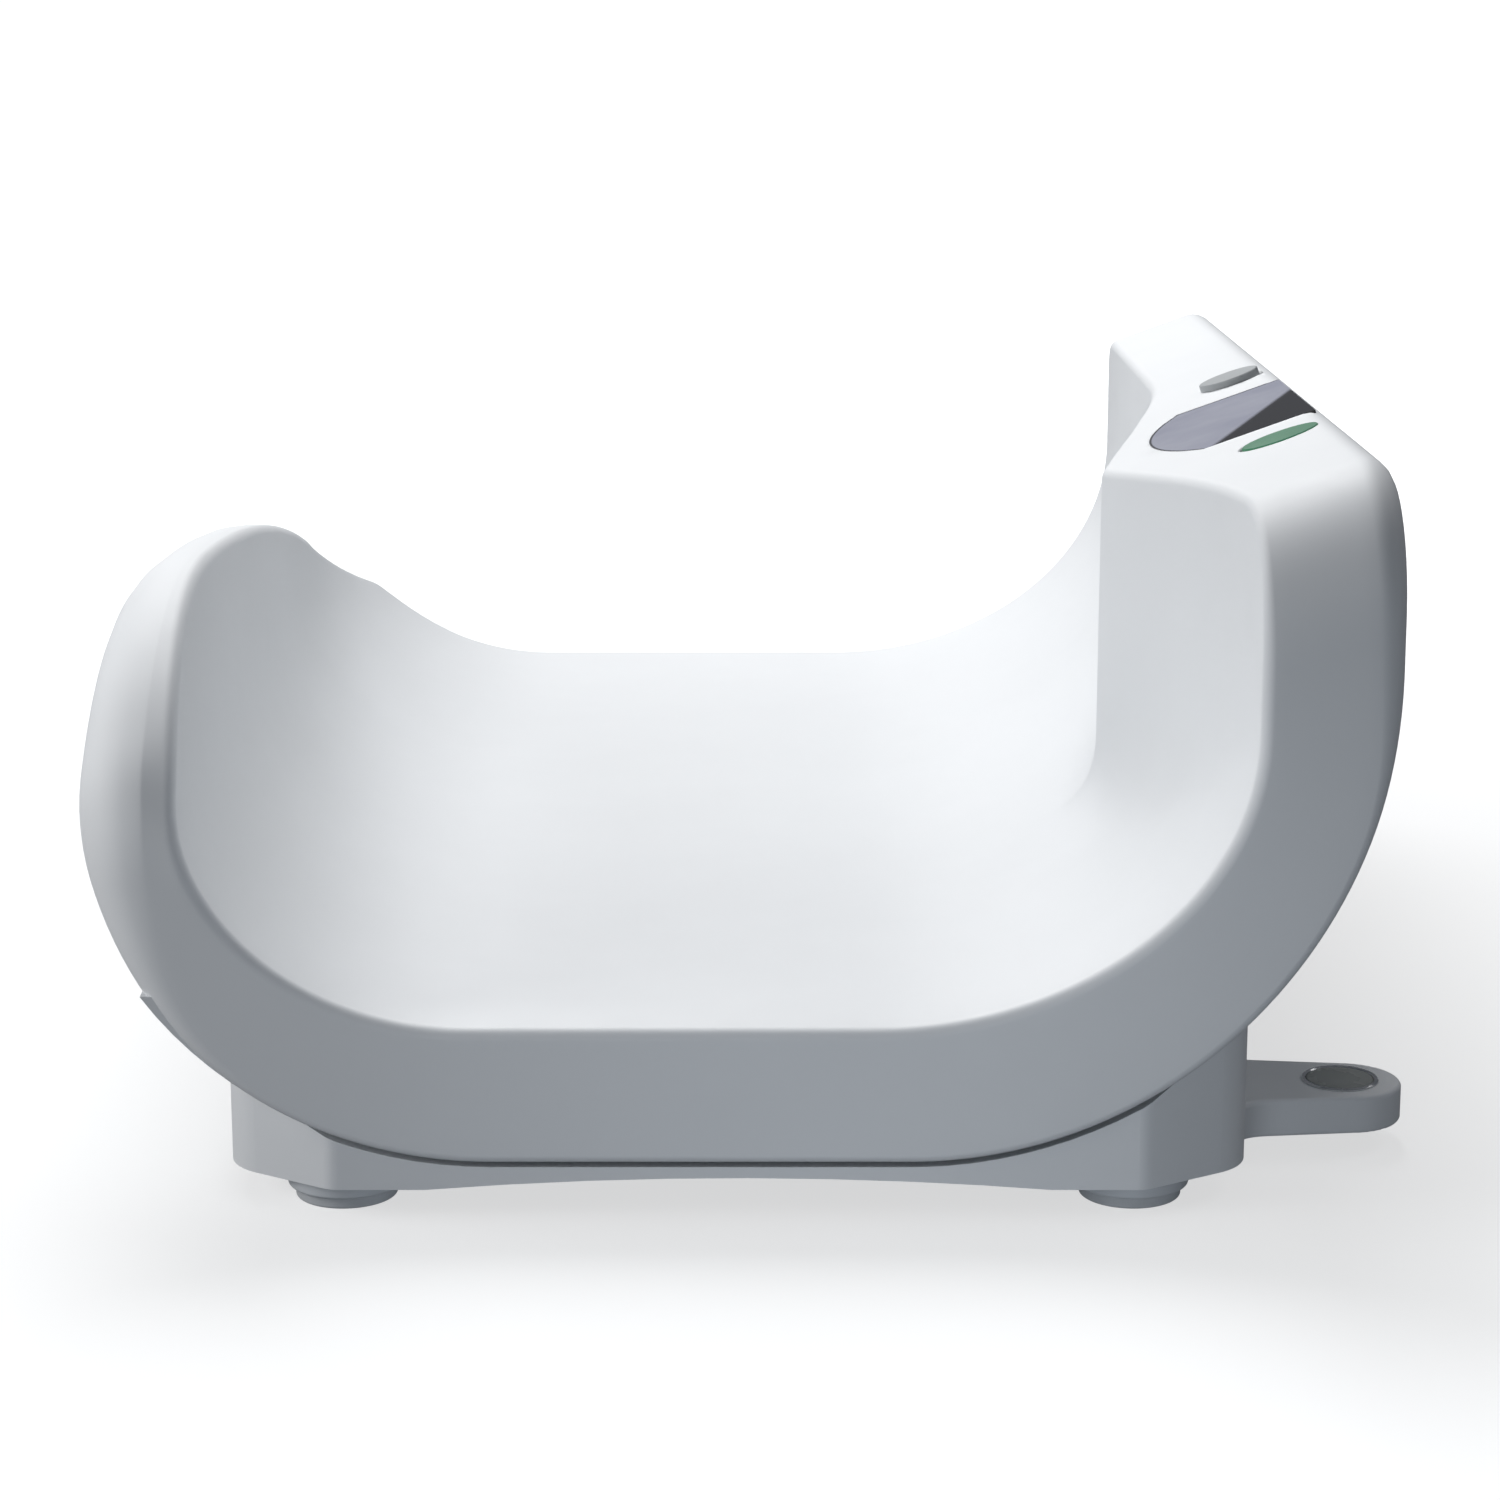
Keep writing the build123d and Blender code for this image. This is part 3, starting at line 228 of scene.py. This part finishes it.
def inner_surface(s, d):
    """Trough surface, with the display housing's nose that stands out of its right wall."""
    flat = INNER.at(s)
    edge = nose_edge(d)
    blend = 18 * np.clip((INNER_RIGHT - edge) / 12, 0, 1)
    x = np.where(flat[:, 0] > 0, smooth_min(flat[:, 0], edge, blend), flat[:, 0])
    return np.column_stack([x, d, flat[:, 1]])


def outer_surface(s, d):
    flat = OUTER.at(s)
    return np.column_stack([flat[:, 0], d, flat[:, 1]])


def roll(d, radius):
    """Drop of a surface that rolls over from an upright face with this radius."""
    near = np.clip(d, 0, radius)
    return radius - np.sqrt(radius**2 - (radius - near) ** 2)


def console_top(d, x):
    flat = CONSOLE_BASE - CONSOLE_FALL * d + CONSOLE_RISE * x
    return flat - roll(d, CONSOLE_FRONT_R) - roll(LENGTH - d, CONSOLE_BACK_R)


def rim_profile():
    """Side profile (D, Z) of the low wall's rim, from the back face to the front face."""
    line = smooth_line(RIM_POINTS, (0, 1), (1, -0.3), 90)
    line = line[line[:, 0] < LENGTH - RIM_CORNER]
    start, heading = line[-1], line[-1] - line[-2]
    heading /= np.hypot(*heading)
    corner = start + heading * (LENGTH - start[0]) / heading[0]
    reach = np.hypot(*(corner - start))
    turn = np.linspace(0, 1, 10)[1:, None]
    end = corner - (0, reach)
    arc = (1 - turn) ** 3 * start + 3 * turn * (1 - turn) ** 2 * (start + CORNER_PULL * (corner - start))
    arc += 3 * turn**2 * (1 - turn) * (end + CORNER_PULL * (corner - end)) + turn**3 * end
    return np.vstack([line, arc])[::-1]


def edge_loops():
    """The tray's inner and outer edge as two loops of (run, depth), matched point by point."""
    profile = rim_profile()
    rows = []
    for d, z in profile:
        rows.append((INNER.left_run(z), OUTER.left_run(z), d))
    rows += across_face(0.0, profile[-1][1], down=True)
    turn = np.linspace(0, math.pi / 2, 12)[1:]
    depths = list(CONSOLE_FRONT_R * (1 - np.cos(turn)))
    depths += list(np.linspace(CONSOLE_FRONT_R, NOSE_D - 12, 12)[1:])
    depths += [NOSE_D + shift for shift in (-8, -5, -3, -NOSE_CREASE, 0, NOSE_CREASE, 3, 5, 8, 12)]
    depths += list(np.linspace(NOSE_D + 12, LENGTH - CONSOLE_BACK_R, 30)[1:])
    depths += list(LENGTH - CONSOLE_BACK_R * (1 - np.sin(np.linspace(0, math.pi / 2, 7)[1:-1])))
    for d in depths:
        inner_z = console_top(d, nose_edge(np.array(d)))
        rows.append((INNER.right_run(inner_z), OUTER.right_run(console_top(d, RIGHT)), d))
    rows += across_face(LENGTH, profile[0][1], down=False)
    return np.array(rows, float)


def across_face(d, rim, down):
    """Matched runs across a flat end face, between the low wall's rim and the console's roll."""
    top_in, top_out = console_top(d, INNER_RIGHT), console_top(d, RIGHT)
    left_in, right_in = INNER.left_run(rim), INNER.right_run(top_in)
    left_out, right_out = OUTER.left_run(rim), OUTER.right_run(top_out)
    share = np.linspace(0, 1, FACE_STEPS)[1:]
    if not down:
        share = share[::-1]
    return [(left_in + t * (right_in - left_in), left_out + t * (right_out - left_out), d) for t in share]


def unit(vectors):
    return vectors / np.linalg.norm(vectors, axis=1)[:, None]


def surface_normal(surface, s, d, side):
    """Unit normal away from the material."""
    step = 0.05
    along = surface(s + step, d) - surface(s - step, d)
    deep = surface(s, d + step) - surface(s, d - step)
    return unit(side * np.cross(along, deep))


def inward(loop):
    """Unit normals of a closed loop in the flat (run, depth) plane, pointing into it."""
    tangent = np.roll(loop, -1, axis=0) - np.roll(loop, 1, axis=0)
    normal = np.column_stack([-tangent[:, 1], tangent[:, 0]])
    area = np.sum(loop[:, 0] * np.roll(loop[:, 1], -1) - loop[:, 1] * np.roll(loop[:, 0], -1))
    return unit(normal * np.sign(area))


def rounded_edge(surface, side, loop, band, radius):
    """Fillet between a surface and the band: the ring in the surface, and rows of points to the band."""
    here = surface_normal(surface, loop[:, 0], np.clip(loop[:, 1], 0.1, LENGTH - 0.1), side)
    lean = np.arccos(np.clip(np.sum(here * band, axis=1), -0.9, 0.9))
    ring = loop + inward(loop) * (radius * np.tan(lean / 2))[:, None]
    foot = surface(ring[:, 0], ring[:, 1])
    normal = surface_normal(surface, ring[:, 0], ring[:, 1], side)
    centre = foot - radius[:, None] * normal
    rows = [foot]
    angle = np.arccos(np.clip(np.sum(normal * band, axis=1), -1, 1))
    for step in range(1, ARC_STEPS + 1):
        t = step / ARC_STEPS
        away = np.sin((1 - t) * angle)[:, None] * normal + np.sin(t * angle)[:, None] * band
        rows.append(centre + radius[:, None] * (away / np.sin(angle)[:, None]))
    return ring, rows


def patch(surface, ring, grid, hole=None):
    """Triangles of a surface inside the ring, through a grid of points; `hole` is left open."""
    points = [tuple(p) for p in ring]
    count = len(points)
    edges = [(i, (i + 1) % count) for i in range(count)]
    if hole is not None:
        low, high = hole
        corners = hole_outline(low, high)
        first = len(points)
        points += corners
        edges += [(first + i, first + (i + 1) % len(corners)) for i in range(len(corners))]
    for s, d in grid:
        gap = np.min(np.hypot(ring[:, 0] - s, ring[:, 1] - d))
        if gap > GRID_CLEAR and (hole is None or not inside(s, d, hole, HOLE_CLEAR)):
            points.append((s, d))
    flat = [Vector(p) for p in points]
    verts, _, faces, _, _, _ = geometry.delaunay_2d_cdt(flat, edges, [], 1, 1e-5)
    verts = np.array([tuple(v) for v in verts])
    kept = []
    for face in faces:
        middle = verts[list(face)].mean(axis=0)
        if hole is None or not inside(*middle, hole):
            kept.append(face)
    return surface(verts[:, 0], verts[:, 1]), kept


def hole_outline(low, high):
    """Rectangle from corner to corner, as points that lie close enough to follow the bent surface."""
    s_steps = np.linspace(low[0], high[0], HOLE_STEPS)
    d_steps = np.linspace(low[1], high[1], HOLE_STEPS)
    outline = [(s, low[1]) for s in s_steps[:-1]] + [(high[0], d) for d in d_steps[:-1]]
    outline += [(s, high[1]) for s in s_steps[:0:-1]] + [(low[0], d) for d in d_steps[:0:-1]]
    return outline


def inside(s, d, hole, margin=0.0):
    (s0, d0), (s1, d1) = hole
    return s0 - margin < s < s1 + margin and d0 - margin < d < d1 + margin


def runs(section, step_flat, step_bend):
    """Runs along a section, closer together where it bends."""
    out, s = [], 1.0
    while s < section.run[-1]:
        out.append(s)
        a, b, c = section.at(np.array([s - 3, s, s + 3]).clip(0, section.run[-1]))
        bend = abs(math.atan2(*(c - b)) - math.atan2(*(b - a)))
        s += step_bend if bend > 0.015 else step_flat
    return out


def place(points):
    """From the tray's own millimetres to the row frame, in metres."""
    shift = np.array([MID_X, -LENGTH / 2, FLOOR])
    return (points + shift) * MM


def mesh_object(name, vertices, faces):
    mesh = bpy.data.meshes.new(name)
    mesh.from_pydata([tuple(v) for v in vertices], [], [tuple(f) for f in faces])
    mesh.validate()
    mesh.shade_smooth()
    piece = bpy.data.objects.new(name, mesh)
    bpy.context.scene.collection.objects.link(piece)
    return piece


def ramp(value, limits):
    """0 below the first limit, 1 above the second, straight between them."""
    low, high = limits
    return np.clip((value - low) / (high - low), 0, 1)


def eased(share):
    return share**2 * (3 - 2 * share)


def outer_radius(points):
    """Outer edge radius: large along the low wall, middling on the console, small round the front face."""
    x, d, z = points.T
    back = BACK_SHARE + (1 - BACK_SHARE) * ramp(LENGTH - d, BACK_GROWS)
    left = eased(ramp(z, LEFT_GROWS) * (x < -20)) * (EDGE_OUT_LEFT - EDGE_OUT) * back
    right = eased(ramp(z, RIGHT_GROWS) * (x > 0)) * (EDGE_OUT_TOP - EDGE_OUT)
    return EDGE_OUT + left + right


def tray_sheet():
    """Everything that shows of the upper shell, as one sheet: trough, edges, rims, console and outside."""
    rows = edge_loops()
    inner_loop, outer_loop = rows[:, [0, 2]], rows[:, [1, 2]]
    inner_edge = inner_surface(inner_loop[:, 0], inner_loop[:, 1])
    outer_edge = outer_surface(outer_loop[:, 0], outer_loop[:, 1])
    middle = (inner_edge + outer_edge) / 2
    band = unit(np.cross(np.roll(middle, -1, axis=0) - np.roll(middle, 1, axis=0), outer_edge - inner_edge))
    if band[len(rim_profile()) + 50][1] > 0:
        band = -band
    inner_r = np.full(len(rows), EDGE_IN)
    outer_r = smoothed(outer_radius(outer_edge))
    ring_in, arc_in = rounded_edge(inner_surface, 1, inner_loop, band, inner_r)
    ring_out, arc_out = rounded_edge(outer_surface, -1, outer_loop, band, outer_r)

    crease = [NOSE_D + shift for shift in (-8, -4, -NOSE_CREASE, 0, NOSE_CREASE, 4, 8)]
    depths = sorted(set(list(np.arange(8, NOSE_D - 10, 9.0)) + crease + list(np.arange(NOSE_D + 16, LENGTH, 10.0))))
    grid_in = [(s, d) for s in runs(INNER, 12, 7) for d in depths]
    grid_out = [(s, d) for s in runs(OUTER, 12, 8) for d in np.arange(6, LENGTH, 14.0)]
    low = OUTER.left_run(SEAM + SEAM_GAP), END_PLATE
    high = OUTER.right_run(SEAM + SEAM_GAP), LENGTH - END_PLATE
    verts_in, faces_in = patch(inner_surface, ring_in, grid_in)
    verts_out, faces_out = patch(outer_surface, ring_out, grid_out, (low, high))

    vertices, faces = list(verts_in), list(faces_in)
    first_out = len(vertices)
    vertices += list(verts_out)
    faces += [tuple(first_out + v for v in face) for face in faces_out]
    count = len(rows)
    rungs = [arc_in[-1] * (1 - t) + arc_out[-1] * t for t in np.linspace(0, 1, RUNGS + 1)[1:-1]]
    ladder = arc_in[1:] + rungs + arc_out[:0:-1]
    names = [list(range(count))]
    for row in ladder:
        names.append(list(range(len(vertices), len(vertices) + count)))
        vertices += list(row)
    names.append([first_out + i for i in range(count)])
    for a, b in zip(names, names[1:]):
        for i in range(count):
            k = (i + 1) % count
            faces.append((a[i], a[k], b[k], b[i]))
    return mesh_object("tray_upper_skin", place(np.array(vertices)), faces)


def smoothed(values, rounds=12):
    for _ in range(rounds):
        values = (np.roll(values, 1) + 2 * values + np.roll(values, -1)) / 4
    return values


# ---------------------------------------------------------------- cuts in the console


def panel_matrix():
    """Console face as a frame: X up the slope, Y to the back, Z out of it."""
    up = Vector((1, 0, CONSOLE_RISE)).normalized()
    out = Vector((-CONSOLE_RISE, CONSOLE_FALL, 1)).normalized()
    back = out.cross(up)
    z = FLOOR + CONSOLE_BASE - CONSOLE_FALL * (PANEL_Y + LENGTH / 2) + CONSOLE_RISE * PANEL_X
    matrix = Matrix((up, back, out)).transposed().to_4x4()
    matrix.translation = Vector((MID_X + PANEL_X, PANEL_Y, z)) * MM
    return matrix


def window_bow(grow):
    """Radius, U and V of the arc on the window's inner side."""
    front, back = WINDOW_FRONT - grow, WINDOW_BACK + grow
    half, bow = (back - front) / 2, WINDOW_IN + grow - WINDOW_SHOULDER
    radius = (half**2 + bow**2) / (2 * bow)
    return radius, -WINDOW_SHOULDER - bow + radius, (front + back) / 2


def window_points(grow, steps=40):
    """Display window's outline: straight outside and ends, a bowed inner side."""
    out, front, back = WINDOW_OUT + grow, WINDOW_FRONT - grow, WINDOW_BACK + grow
    radius, centre, middle = window_bow(grow)
    reach = math.asin((back - front) / 2 / radius)
    turn = np.linspace(reach, -reach, steps)
    arc = [(centre - radius * math.cos(t), middle + radius * math.sin(t)) for t in turn]
    return [(out, front), (out, back)] + arc


def ellipse_points(spot, size, grow, steps=64):
    turn = np.linspace(0, 2 * math.pi, steps, endpoint=False)
    reach_u, reach_v = size[0] / 2 + grow, size[1] / 2 + grow
    return [(spot[0] + reach_u * math.cos(t), spot[1] + reach_v * math.sin(t)) for t in turn]


def prism(bm, outline, low, high, matrix):
    """Adds a closed prism over a flat outline, in the panel's millimetres."""
    rows = [[bm.verts.new(matrix @ (Vector((u, v, w)) * MM)) for u, v in outline] for w in (low, high)]
    bm.faces.new(rows[0][::-1])
    bm.faces.new(rows[1])
    count = len(outline)
    for i in range(count):
        k = (i + 1) % count
        bm.faces.new((rows[0][i], rows[0][k], rows[1][k], rows[1][i]))


def cut(piece, name, shapes):
    """Cuts prisms out of a piece and applies the cut."""
    bm = bmesh.new()
    for outline, low, high in shapes:
        prism(bm, outline, low, high, panel_matrix())
    bmesh.ops.recalc_face_normals(bm, faces=bm.faces)
    mesh = bpy.data.meshes.new(name)
    bm.to_mesh(mesh)
    bm.free()
    cutter = bpy.data.objects.new(name, mesh)
    bpy.context.scene.collection.objects.link(cutter)
    modifier = piece.modifiers.new(name, "BOOLEAN")
    modifier.operation, modifier.solver, modifier.object = "DIFFERENCE", "EXACT", cutter
    apply_modifiers(piece)
    bpy.data.objects.remove(cutter)


def apply_modifiers(piece):
    graph = bpy.context.evaluated_depsgraph_get()
    mesh = bpy.data.meshes.new_from_object(piece.evaluated_get(graph))
    piece.modifiers.clear()
    piece.data = mesh


def tray_upper():
    """Upper shell: the sheet thickened inwards, with the window's seat and the key holes cut."""
    piece = tray_sheet()
    bm = bmesh.new()
    bm.from_mesh(piece.data)
    bmesh.ops.remove_doubles(bm, verts=bm.verts, dist=1e-6)
    bmesh.ops.recalc_face_normals(bm, faces=bm.faces)
    bm.to_mesh(piece.data)
    bm.free()
    solid = piece.modifiers.new("skin", "SOLIDIFY")
    solid.thickness, solid.offset = SKIN * MM, -1
    solid.use_even_offset = False
    apply_modifiers(piece)
    cut(piece, "cut_seat", [(window_points(FIT), -WINDOW_DEEP, SEAT_TOP)])
    cuts = [(window_points(-WINDOW_LEDGE), KEY_BOTTOM, 0)]
    cuts += [(ellipse_points(spot, size, KEY_GAP), KEY_BOTTOM, SEAT_TOP) for spot, size in KEYS]
    cut(piece, "cut_through", cuts)
    piece.data.shade_smooth()
    angle = piece.modifiers.new("normals", "WEIGHTED_NORMAL")
    angle.keep_sharp = True
    return piece


# ---------------------------------------------------------------- materials


class Finish:
    """Node material under construction: a Principled shader with patterns in the object's own metres."""

    def __init__(self, name, color, rough, metallic=0.0):
        self.material = bpy.data.materials.new(name)
        self.material.use_nodes = True
        self.tree = self.material.node_tree
        self.shader = self.tree.nodes["Principled BSDF"]
        self.shader.inputs["Base Color"].default_value = (*color, 1)
        self.shader.inputs["Roughness"].default_value = rough
        self.shader.inputs["Metallic"].default_value = metallic
        self.place = self.tree.nodes.new("ShaderNodeTexCoord").outputs["Object"]
        self.color, self.rough = color, rough
        self.height = None

    def link(self, a, b):
        self.tree.links.new(a, b)

    def node(self, kind, **values):
        made = self.tree.nodes.new(kind)
        for key, value in values.items():
            setattr(made, key, value)
        return made

    def noise(self, scale, detail=3.0, stretch=None):
        """Noise with this many waves a metre; `stretch` squeezes it along the axes."""
        where = self.place
        if stretch:
            mapping = self.node("ShaderNodeMapping")
            mapping.inputs["Scale"].default_value = stretch
            self.link(where, mapping.inputs["Vector"])
            where = mapping.outputs["Vector"]
        made = self.node("ShaderNodeTexNoise")
        made.inputs["Scale"].default_value = scale
        made.inputs["Detail"].default_value = detail
        self.link(where, made.inputs["Vector"])
        return made.outputs["Fac"]

    def ranged(self, value, low, high, start=0.3, stop=0.7):
        made = self.node("ShaderNodeMapRange")
        for key, number in (("From Min", start), ("From Max", stop), ("To Min", low), ("To Max", high)):
            made.inputs[key].default_value = number
        self.link(value, made.inputs["Value"])
        return made.outputs["Result"]

    def maths(self, operation, *values):
        """Math node whose inputs are sockets or numbers."""
        made = self.node("ShaderNodeMath", operation=operation)
        for socket, value in zip(made.inputs, values):
            if isinstance(value, (int, float)):
                socket.default_value = value
            else:
                self.link(value, socket)
        return made.outputs["Value"]

    def mixed(self, factor, a, b):
        made = self.node("ShaderNodeMix", data_type="RGBA")
        made.inputs[6].default_value, made.inputs[7].default_value = (*a, 1), (*b, 1)
        self.link(factor, made.inputs["Factor"])
        return made

    def over(self, factor, under, color):
        """A colour laid over what a socket gives, where the factor is 1."""
        made = self.node("ShaderNodeMix", data_type="RGBA")
        made.inputs[7].default_value = (*color, 1)
        self.link(factor, made.inputs["Factor"])
        self.link(under, made.inputs[6])
        return made.outputs[2]

    def tint(self, amount, scale):
        """Faint change of colour from place to place."""
        darker = tuple(c * (1 - amount) for c in self.color)
        made = self.mixed(self.ranged(self.noise(scale), 0, 1), self.color, darker)
        self.link(made.outputs[2], self.shader.inputs["Base Color"])
        return made

    def gloss(self, amount, scale, stretch=None):
        fac = self.ranged(self.noise(scale, 4.0, stretch), self.rough - amount, self.rough + amount)
        self.link(fac, self.shader.inputs["Roughness"])

    def grain(self, scale, depth, stretch=None):
        """Fine relief, `depth` metres high."""
        bump = self.node("ShaderNodeBump")
        bump.inputs["Distance"].default_value = depth
        self.link(self.noise(scale, 2.0, stretch), bump.inputs["Height"])
        if self.height:
            self.link(self.height, bump.inputs["Normal"])
        self.height = bump.outputs["Normal"]
        self.link(self.height, self.shader.inputs["Normal"])

    def set(self, **values):
        for key, value in values.items():
            self.shader.inputs[key.replace("_", " ")].default_value = value


def moulded(name, color, rough, grain=0.00002, tint=0.03, coat=0.0):
    """Satin moulded plastic: spark-eroded grain, faint flow shading and uneven gloss."""
    finish = Finish(name, color, rough)
    finish.tint(tint, 9)
    finish.gloss(0.04, 60)
    finish.grain(2600, grain)
    finish.set(IOR=1.49)
    finish.shader.inputs["Coat Weight"].default_value = coat
    finish.shader.inputs["Coat Roughness"].default_value = 0.2
    return finish.material


def metal(name, color, rough, stretch=(1, 1, 1)):
    finish = Finish(name, color, rough, 1.0)
    finish.tint(0.12, 40)
    finish.gloss(0.08, 300, stretch)
    finish.grain(1800, 0.000012, stretch)
    return finish.material


def rubbery(name, color):
    finish = Finish(name, color, 0.75)
    finish.tint(0.1, 120)
    finish.gloss(0.06, 200)
    finish.grain(1200, 0.00006)
    return finish.material


def see_through(name, color, rough, alpha, tint=0.05):
    finish = Finish(name, color, rough)
    finish.tint(tint, 30)
    finish.gloss(rough / 3, 90)
    finish.grain(500, 0.000003)
    finish.set(IOR=1.49, Alpha=alpha)
    return finish.material


def window_border(finish, u, v):
    """1 on a thin line just inside the window's back edge and its bowed side."""
    radius, centre, middle = window_bow(0)
    spot = finish.node("ShaderNodeCombineXYZ")
    finish.link(finish.maths("SUBTRACT", u, centre * MM), spot.inputs["X"])
    finish.link(finish.maths("SUBTRACT", v, middle * MM), spot.inputs["Y"])
    reach = finish.node("ShaderNodeVectorMath", operation="LENGTH")
    finish.link(spot.outputs["Vector"], reach.inputs[0])
    start, stop = BORDER * MM, BORDER_FADE * BORDER * MM
    bow = finish.ranged(reach.outputs["Value"], 0, 1, radius * MM - start, radius * MM - stop)
    inner = finish.ranged(u, 1, 0, -WINDOW_SHOULDER * MM, (2 - WINDOW_SHOULDER) * MM)
    back = finish.ranged(v, 0, 1, WINDOW_BACK * MM - start, WINDOW_BACK * MM - stop)
    return finish.maths("MAXIMUM", finish.maths("MULTIPLY", bow, inner), back)


def window_finish():
    """Display window: pale film over the display, with a painted dark reflection outside a slanting line at the
    outer front corner.
    """
    finish = Finish("window_film", (0.42, 0.43, 0.53), 0.1)
    matrix = panel_matrix().inverted()
    turn = finish.node("ShaderNodeMapping", vector_type="POINT")
    turn.inputs["Location"].default_value = matrix.translation
    turn.inputs["Rotation"].default_value = matrix.to_euler()
    finish.link(finish.place, turn.inputs["Vector"])
    split = finish.node("ShaderNodeSeparateXYZ")
    finish.link(turn.outputs["Vector"], split.inputs["Vector"])
    u, v = split.outputs["X"], split.outputs["Y"]
    # Painted reflection: a near-black wedge at the window's outer front corner stands for the dark surroundings
    # mirrored in the glossy film
    slant = finish.maths("MULTIPLY_ADD", u, DARK_REFLECTION_SLANT, finish.maths("MULTIPLY", v, -1))
    painted_reflection = finish.ranged(slant, 0, 1, DARK_REFLECTION_START * MM, (DARK_REFLECTION_START + DARK_REFLECTION_FADE) * MM)
    cloud = finish.mixed(finish.ranged(finish.noise(35), 0, 1), (0.56, 0.57, 0.66), (0.47, 0.48, 0.58))
    film = finish.over(painted_reflection, cloud.outputs[2], (0.035, 0.032, 0.034))
    bordered = finish.over(window_border(finish, u, v), film, (0.12, 0.12, 0.13))
    finish.link(bordered, finish.shader.inputs["Base Color"])
    finish.gloss(0.03, 120)
    finish.grain(400, 0.000002)
    finish.set(IOR=1.49)
    return finish.material


def finishes():
    """The material that stands for each of the record's slots."""
    return {
        "white_shell": moulded("white_satin", (0.80, 0.815, 0.83), 0.6),
        "base_white": moulded("base_satin", (0.80, 0.815, 0.83), 0.56),
        "lower_shell": moulded("underside_satin", (0.74, 0.755, 0.77), 0.5),
        "window": window_finish(),
        "lcd": see_through("display_glass", (0.5, 0.53, 0.46), 0.15, 1.0),
        "green_key": moulded("green_key_plastic", (0.055, 0.26, 0.13), 0.35, 0.00003, 0.1, 0.3),
        "grey_key": moulded("grey_key_plastic", (0.40, 0.42, 0.43), 0.4, 0.00003, 0.06),
        "black_plastic": moulded("black_plastic", (0.02, 0.02, 0.022), 0.5, 0.00004, 0.2),
        "board_green": moulded("board_varnish", (0.015, 0.11, 0.05), 0.3, 0.00002, 0.25, 0.6),
        "rubber": rubbery("foot_rubber", (0.56, 0.58, 0.60)),
        "foot_plastic": moulded("foot_plastic", (0.62, 0.645, 0.67), 0.45),
        "steel": metal("zinc_plated_steel", (0.55, 0.56, 0.57), 0.32, (1, 1, 6)),
        "aluminium": metal("brushed_aluminium", (0.68, 0.69, 0.70), 0.36, (1, 0.06, 1)),
        "brass": metal("brass", (0.62, 0.43, 0.17), 0.3),
        "chrome": metal("bright_ring", (0.72, 0.73, 0.74), 0.14),
        "level_fluid": see_through("level_fluid", (0.30, 0.32, 0.29), 0.2, 1.0),
        "clear": see_through("clear_lens", (0.46, 0.48, 0.46), 0.3, 0.7),
        "battery_wrap": moulded("battery_wrap", (0.07, 0.085, 0.12), 0.3, 0.00001, 0.15, 0.4),
    }


def dress(made):
    """Gives every shown CAD node the material of its slot."""
    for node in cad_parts.values():
        for slot in node.material_slots:
            key = slot.material.name.split(".")[0] if slot.material else "white_shell"
            slot.material = made[key]


# ---------------------------------------------------------------- stage


def stage_mesh(name, vertices, faces, color):
    """Matt floor that glows more the farther it lies from the object, so the backdrop stays white."""
    piece = mesh_object(name, vertices, faces)
    paint = Finish(name + "_paint", color, 1.0)
    reach = paint.node("ShaderNodeVectorMath", operation="LENGTH")
    paint.link(paint.place, reach.inputs[0])
    glow = paint.ranged(reach.outputs["Value"], FLOOR_GLOW, BACKDROP_GLOW, GLOW_NEAR, GLOW_FAR)
    paint.link(glow, paint.shader.inputs["Emission Strength"])
    paint.shader.inputs["Emission Color"].default_value = (1, 1, 1, 1)
    paint.shader.inputs["Specular IOR Level"].default_value = 0.0
    piece.data.materials.append(paint.material)
    return piece


def stage():
    """Pale floor that runs up into a backdrop all round."""
    vertices = [(0, 0, 0)]
    for radius, z in FLOOR_RINGS:
        for i in range(FLOOR_STEPS):
            turn = 2 * math.pi * i / FLOOR_STEPS
            vertices.append((radius * math.cos(turn), radius * math.sin(turn), z))
    faces = [(0, 1 + i, 1 + (i + 1) % FLOOR_STEPS) for i in range(FLOOR_STEPS)]
    for ring in range(len(FLOOR_RINGS) - 1):
        a, b = 1 + ring * FLOOR_STEPS, 1 + (ring + 1) * FLOOR_STEPS
        for i in range(FLOOR_STEPS):
            k = (i + 1) % FLOOR_STEPS
            faces.append((a + i, b + i, b + k, a + k))
    floor = stage_mesh("floor", vertices, faces, FLOOR_COLOR)
    floor.visible_diffuse = False
    floor.visible_glossy = False


def softbox(name, place, size, watts, aim, color):
    data = bpy.data.lights.new(name, "AREA")
    data.shape, data.size, data.energy, data.color = "DISK", size, watts, color
    lamp = bpy.data.objects.new(name, data)
    lamp.location = place
    lamp.rotation_mode = "QUATERNION"
    lamp.rotation_quaternion = (Vector(aim) - Vector(place)).to_track_quat("-Z", "Y")
    lamp.visible_camera = False
    bpy.context.scene.collection.objects.link(lamp)


def lights():
    middle = (cad_box[0] + cad_box[1]) / 2
    for name, (spot, size, watts, aim, color) in SOFTBOXES.items():
        softbox(name, spot, size, watts, aim or middle, color)
    world = bpy.data.worlds.new("studio")
    world.use_nodes = True
    world.node_tree.nodes["Background"].inputs["Color"].default_value = SKY_COLOR
    world.node_tree.nodes["Background"].inputs["Strength"].default_value = SKY_STRENGTH
    bpy.context.scene.world = world


def camera():
    data = bpy.data.cameras.new("camera")
    data.lens, data.sensor_width = CAMERA_LENS, 36
    data.clip_start, data.clip_end = 0.01, 50
    piece = bpy.data.objects.new("camera", data)
    piece.location = CAMERA_PLACE
    piece.rotation_euler = (math.radians(CAMERA_PITCH), 0, 0)
    bpy.context.scene.collection.objects.link(piece)
    bpy.context.scene.camera = piece


# ---------------------------------------------------------------- the scene

made = finishes()
tray = tray_upper()
tray.data.materials.clear()
tray.data.materials.append(made["white_shell"])
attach(tray, ROOT)
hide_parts("tray_upper_shell")
dress(made)
stage()
lights()
camera()
bpy.context.scene.view_settings.view_transform = "Standard"
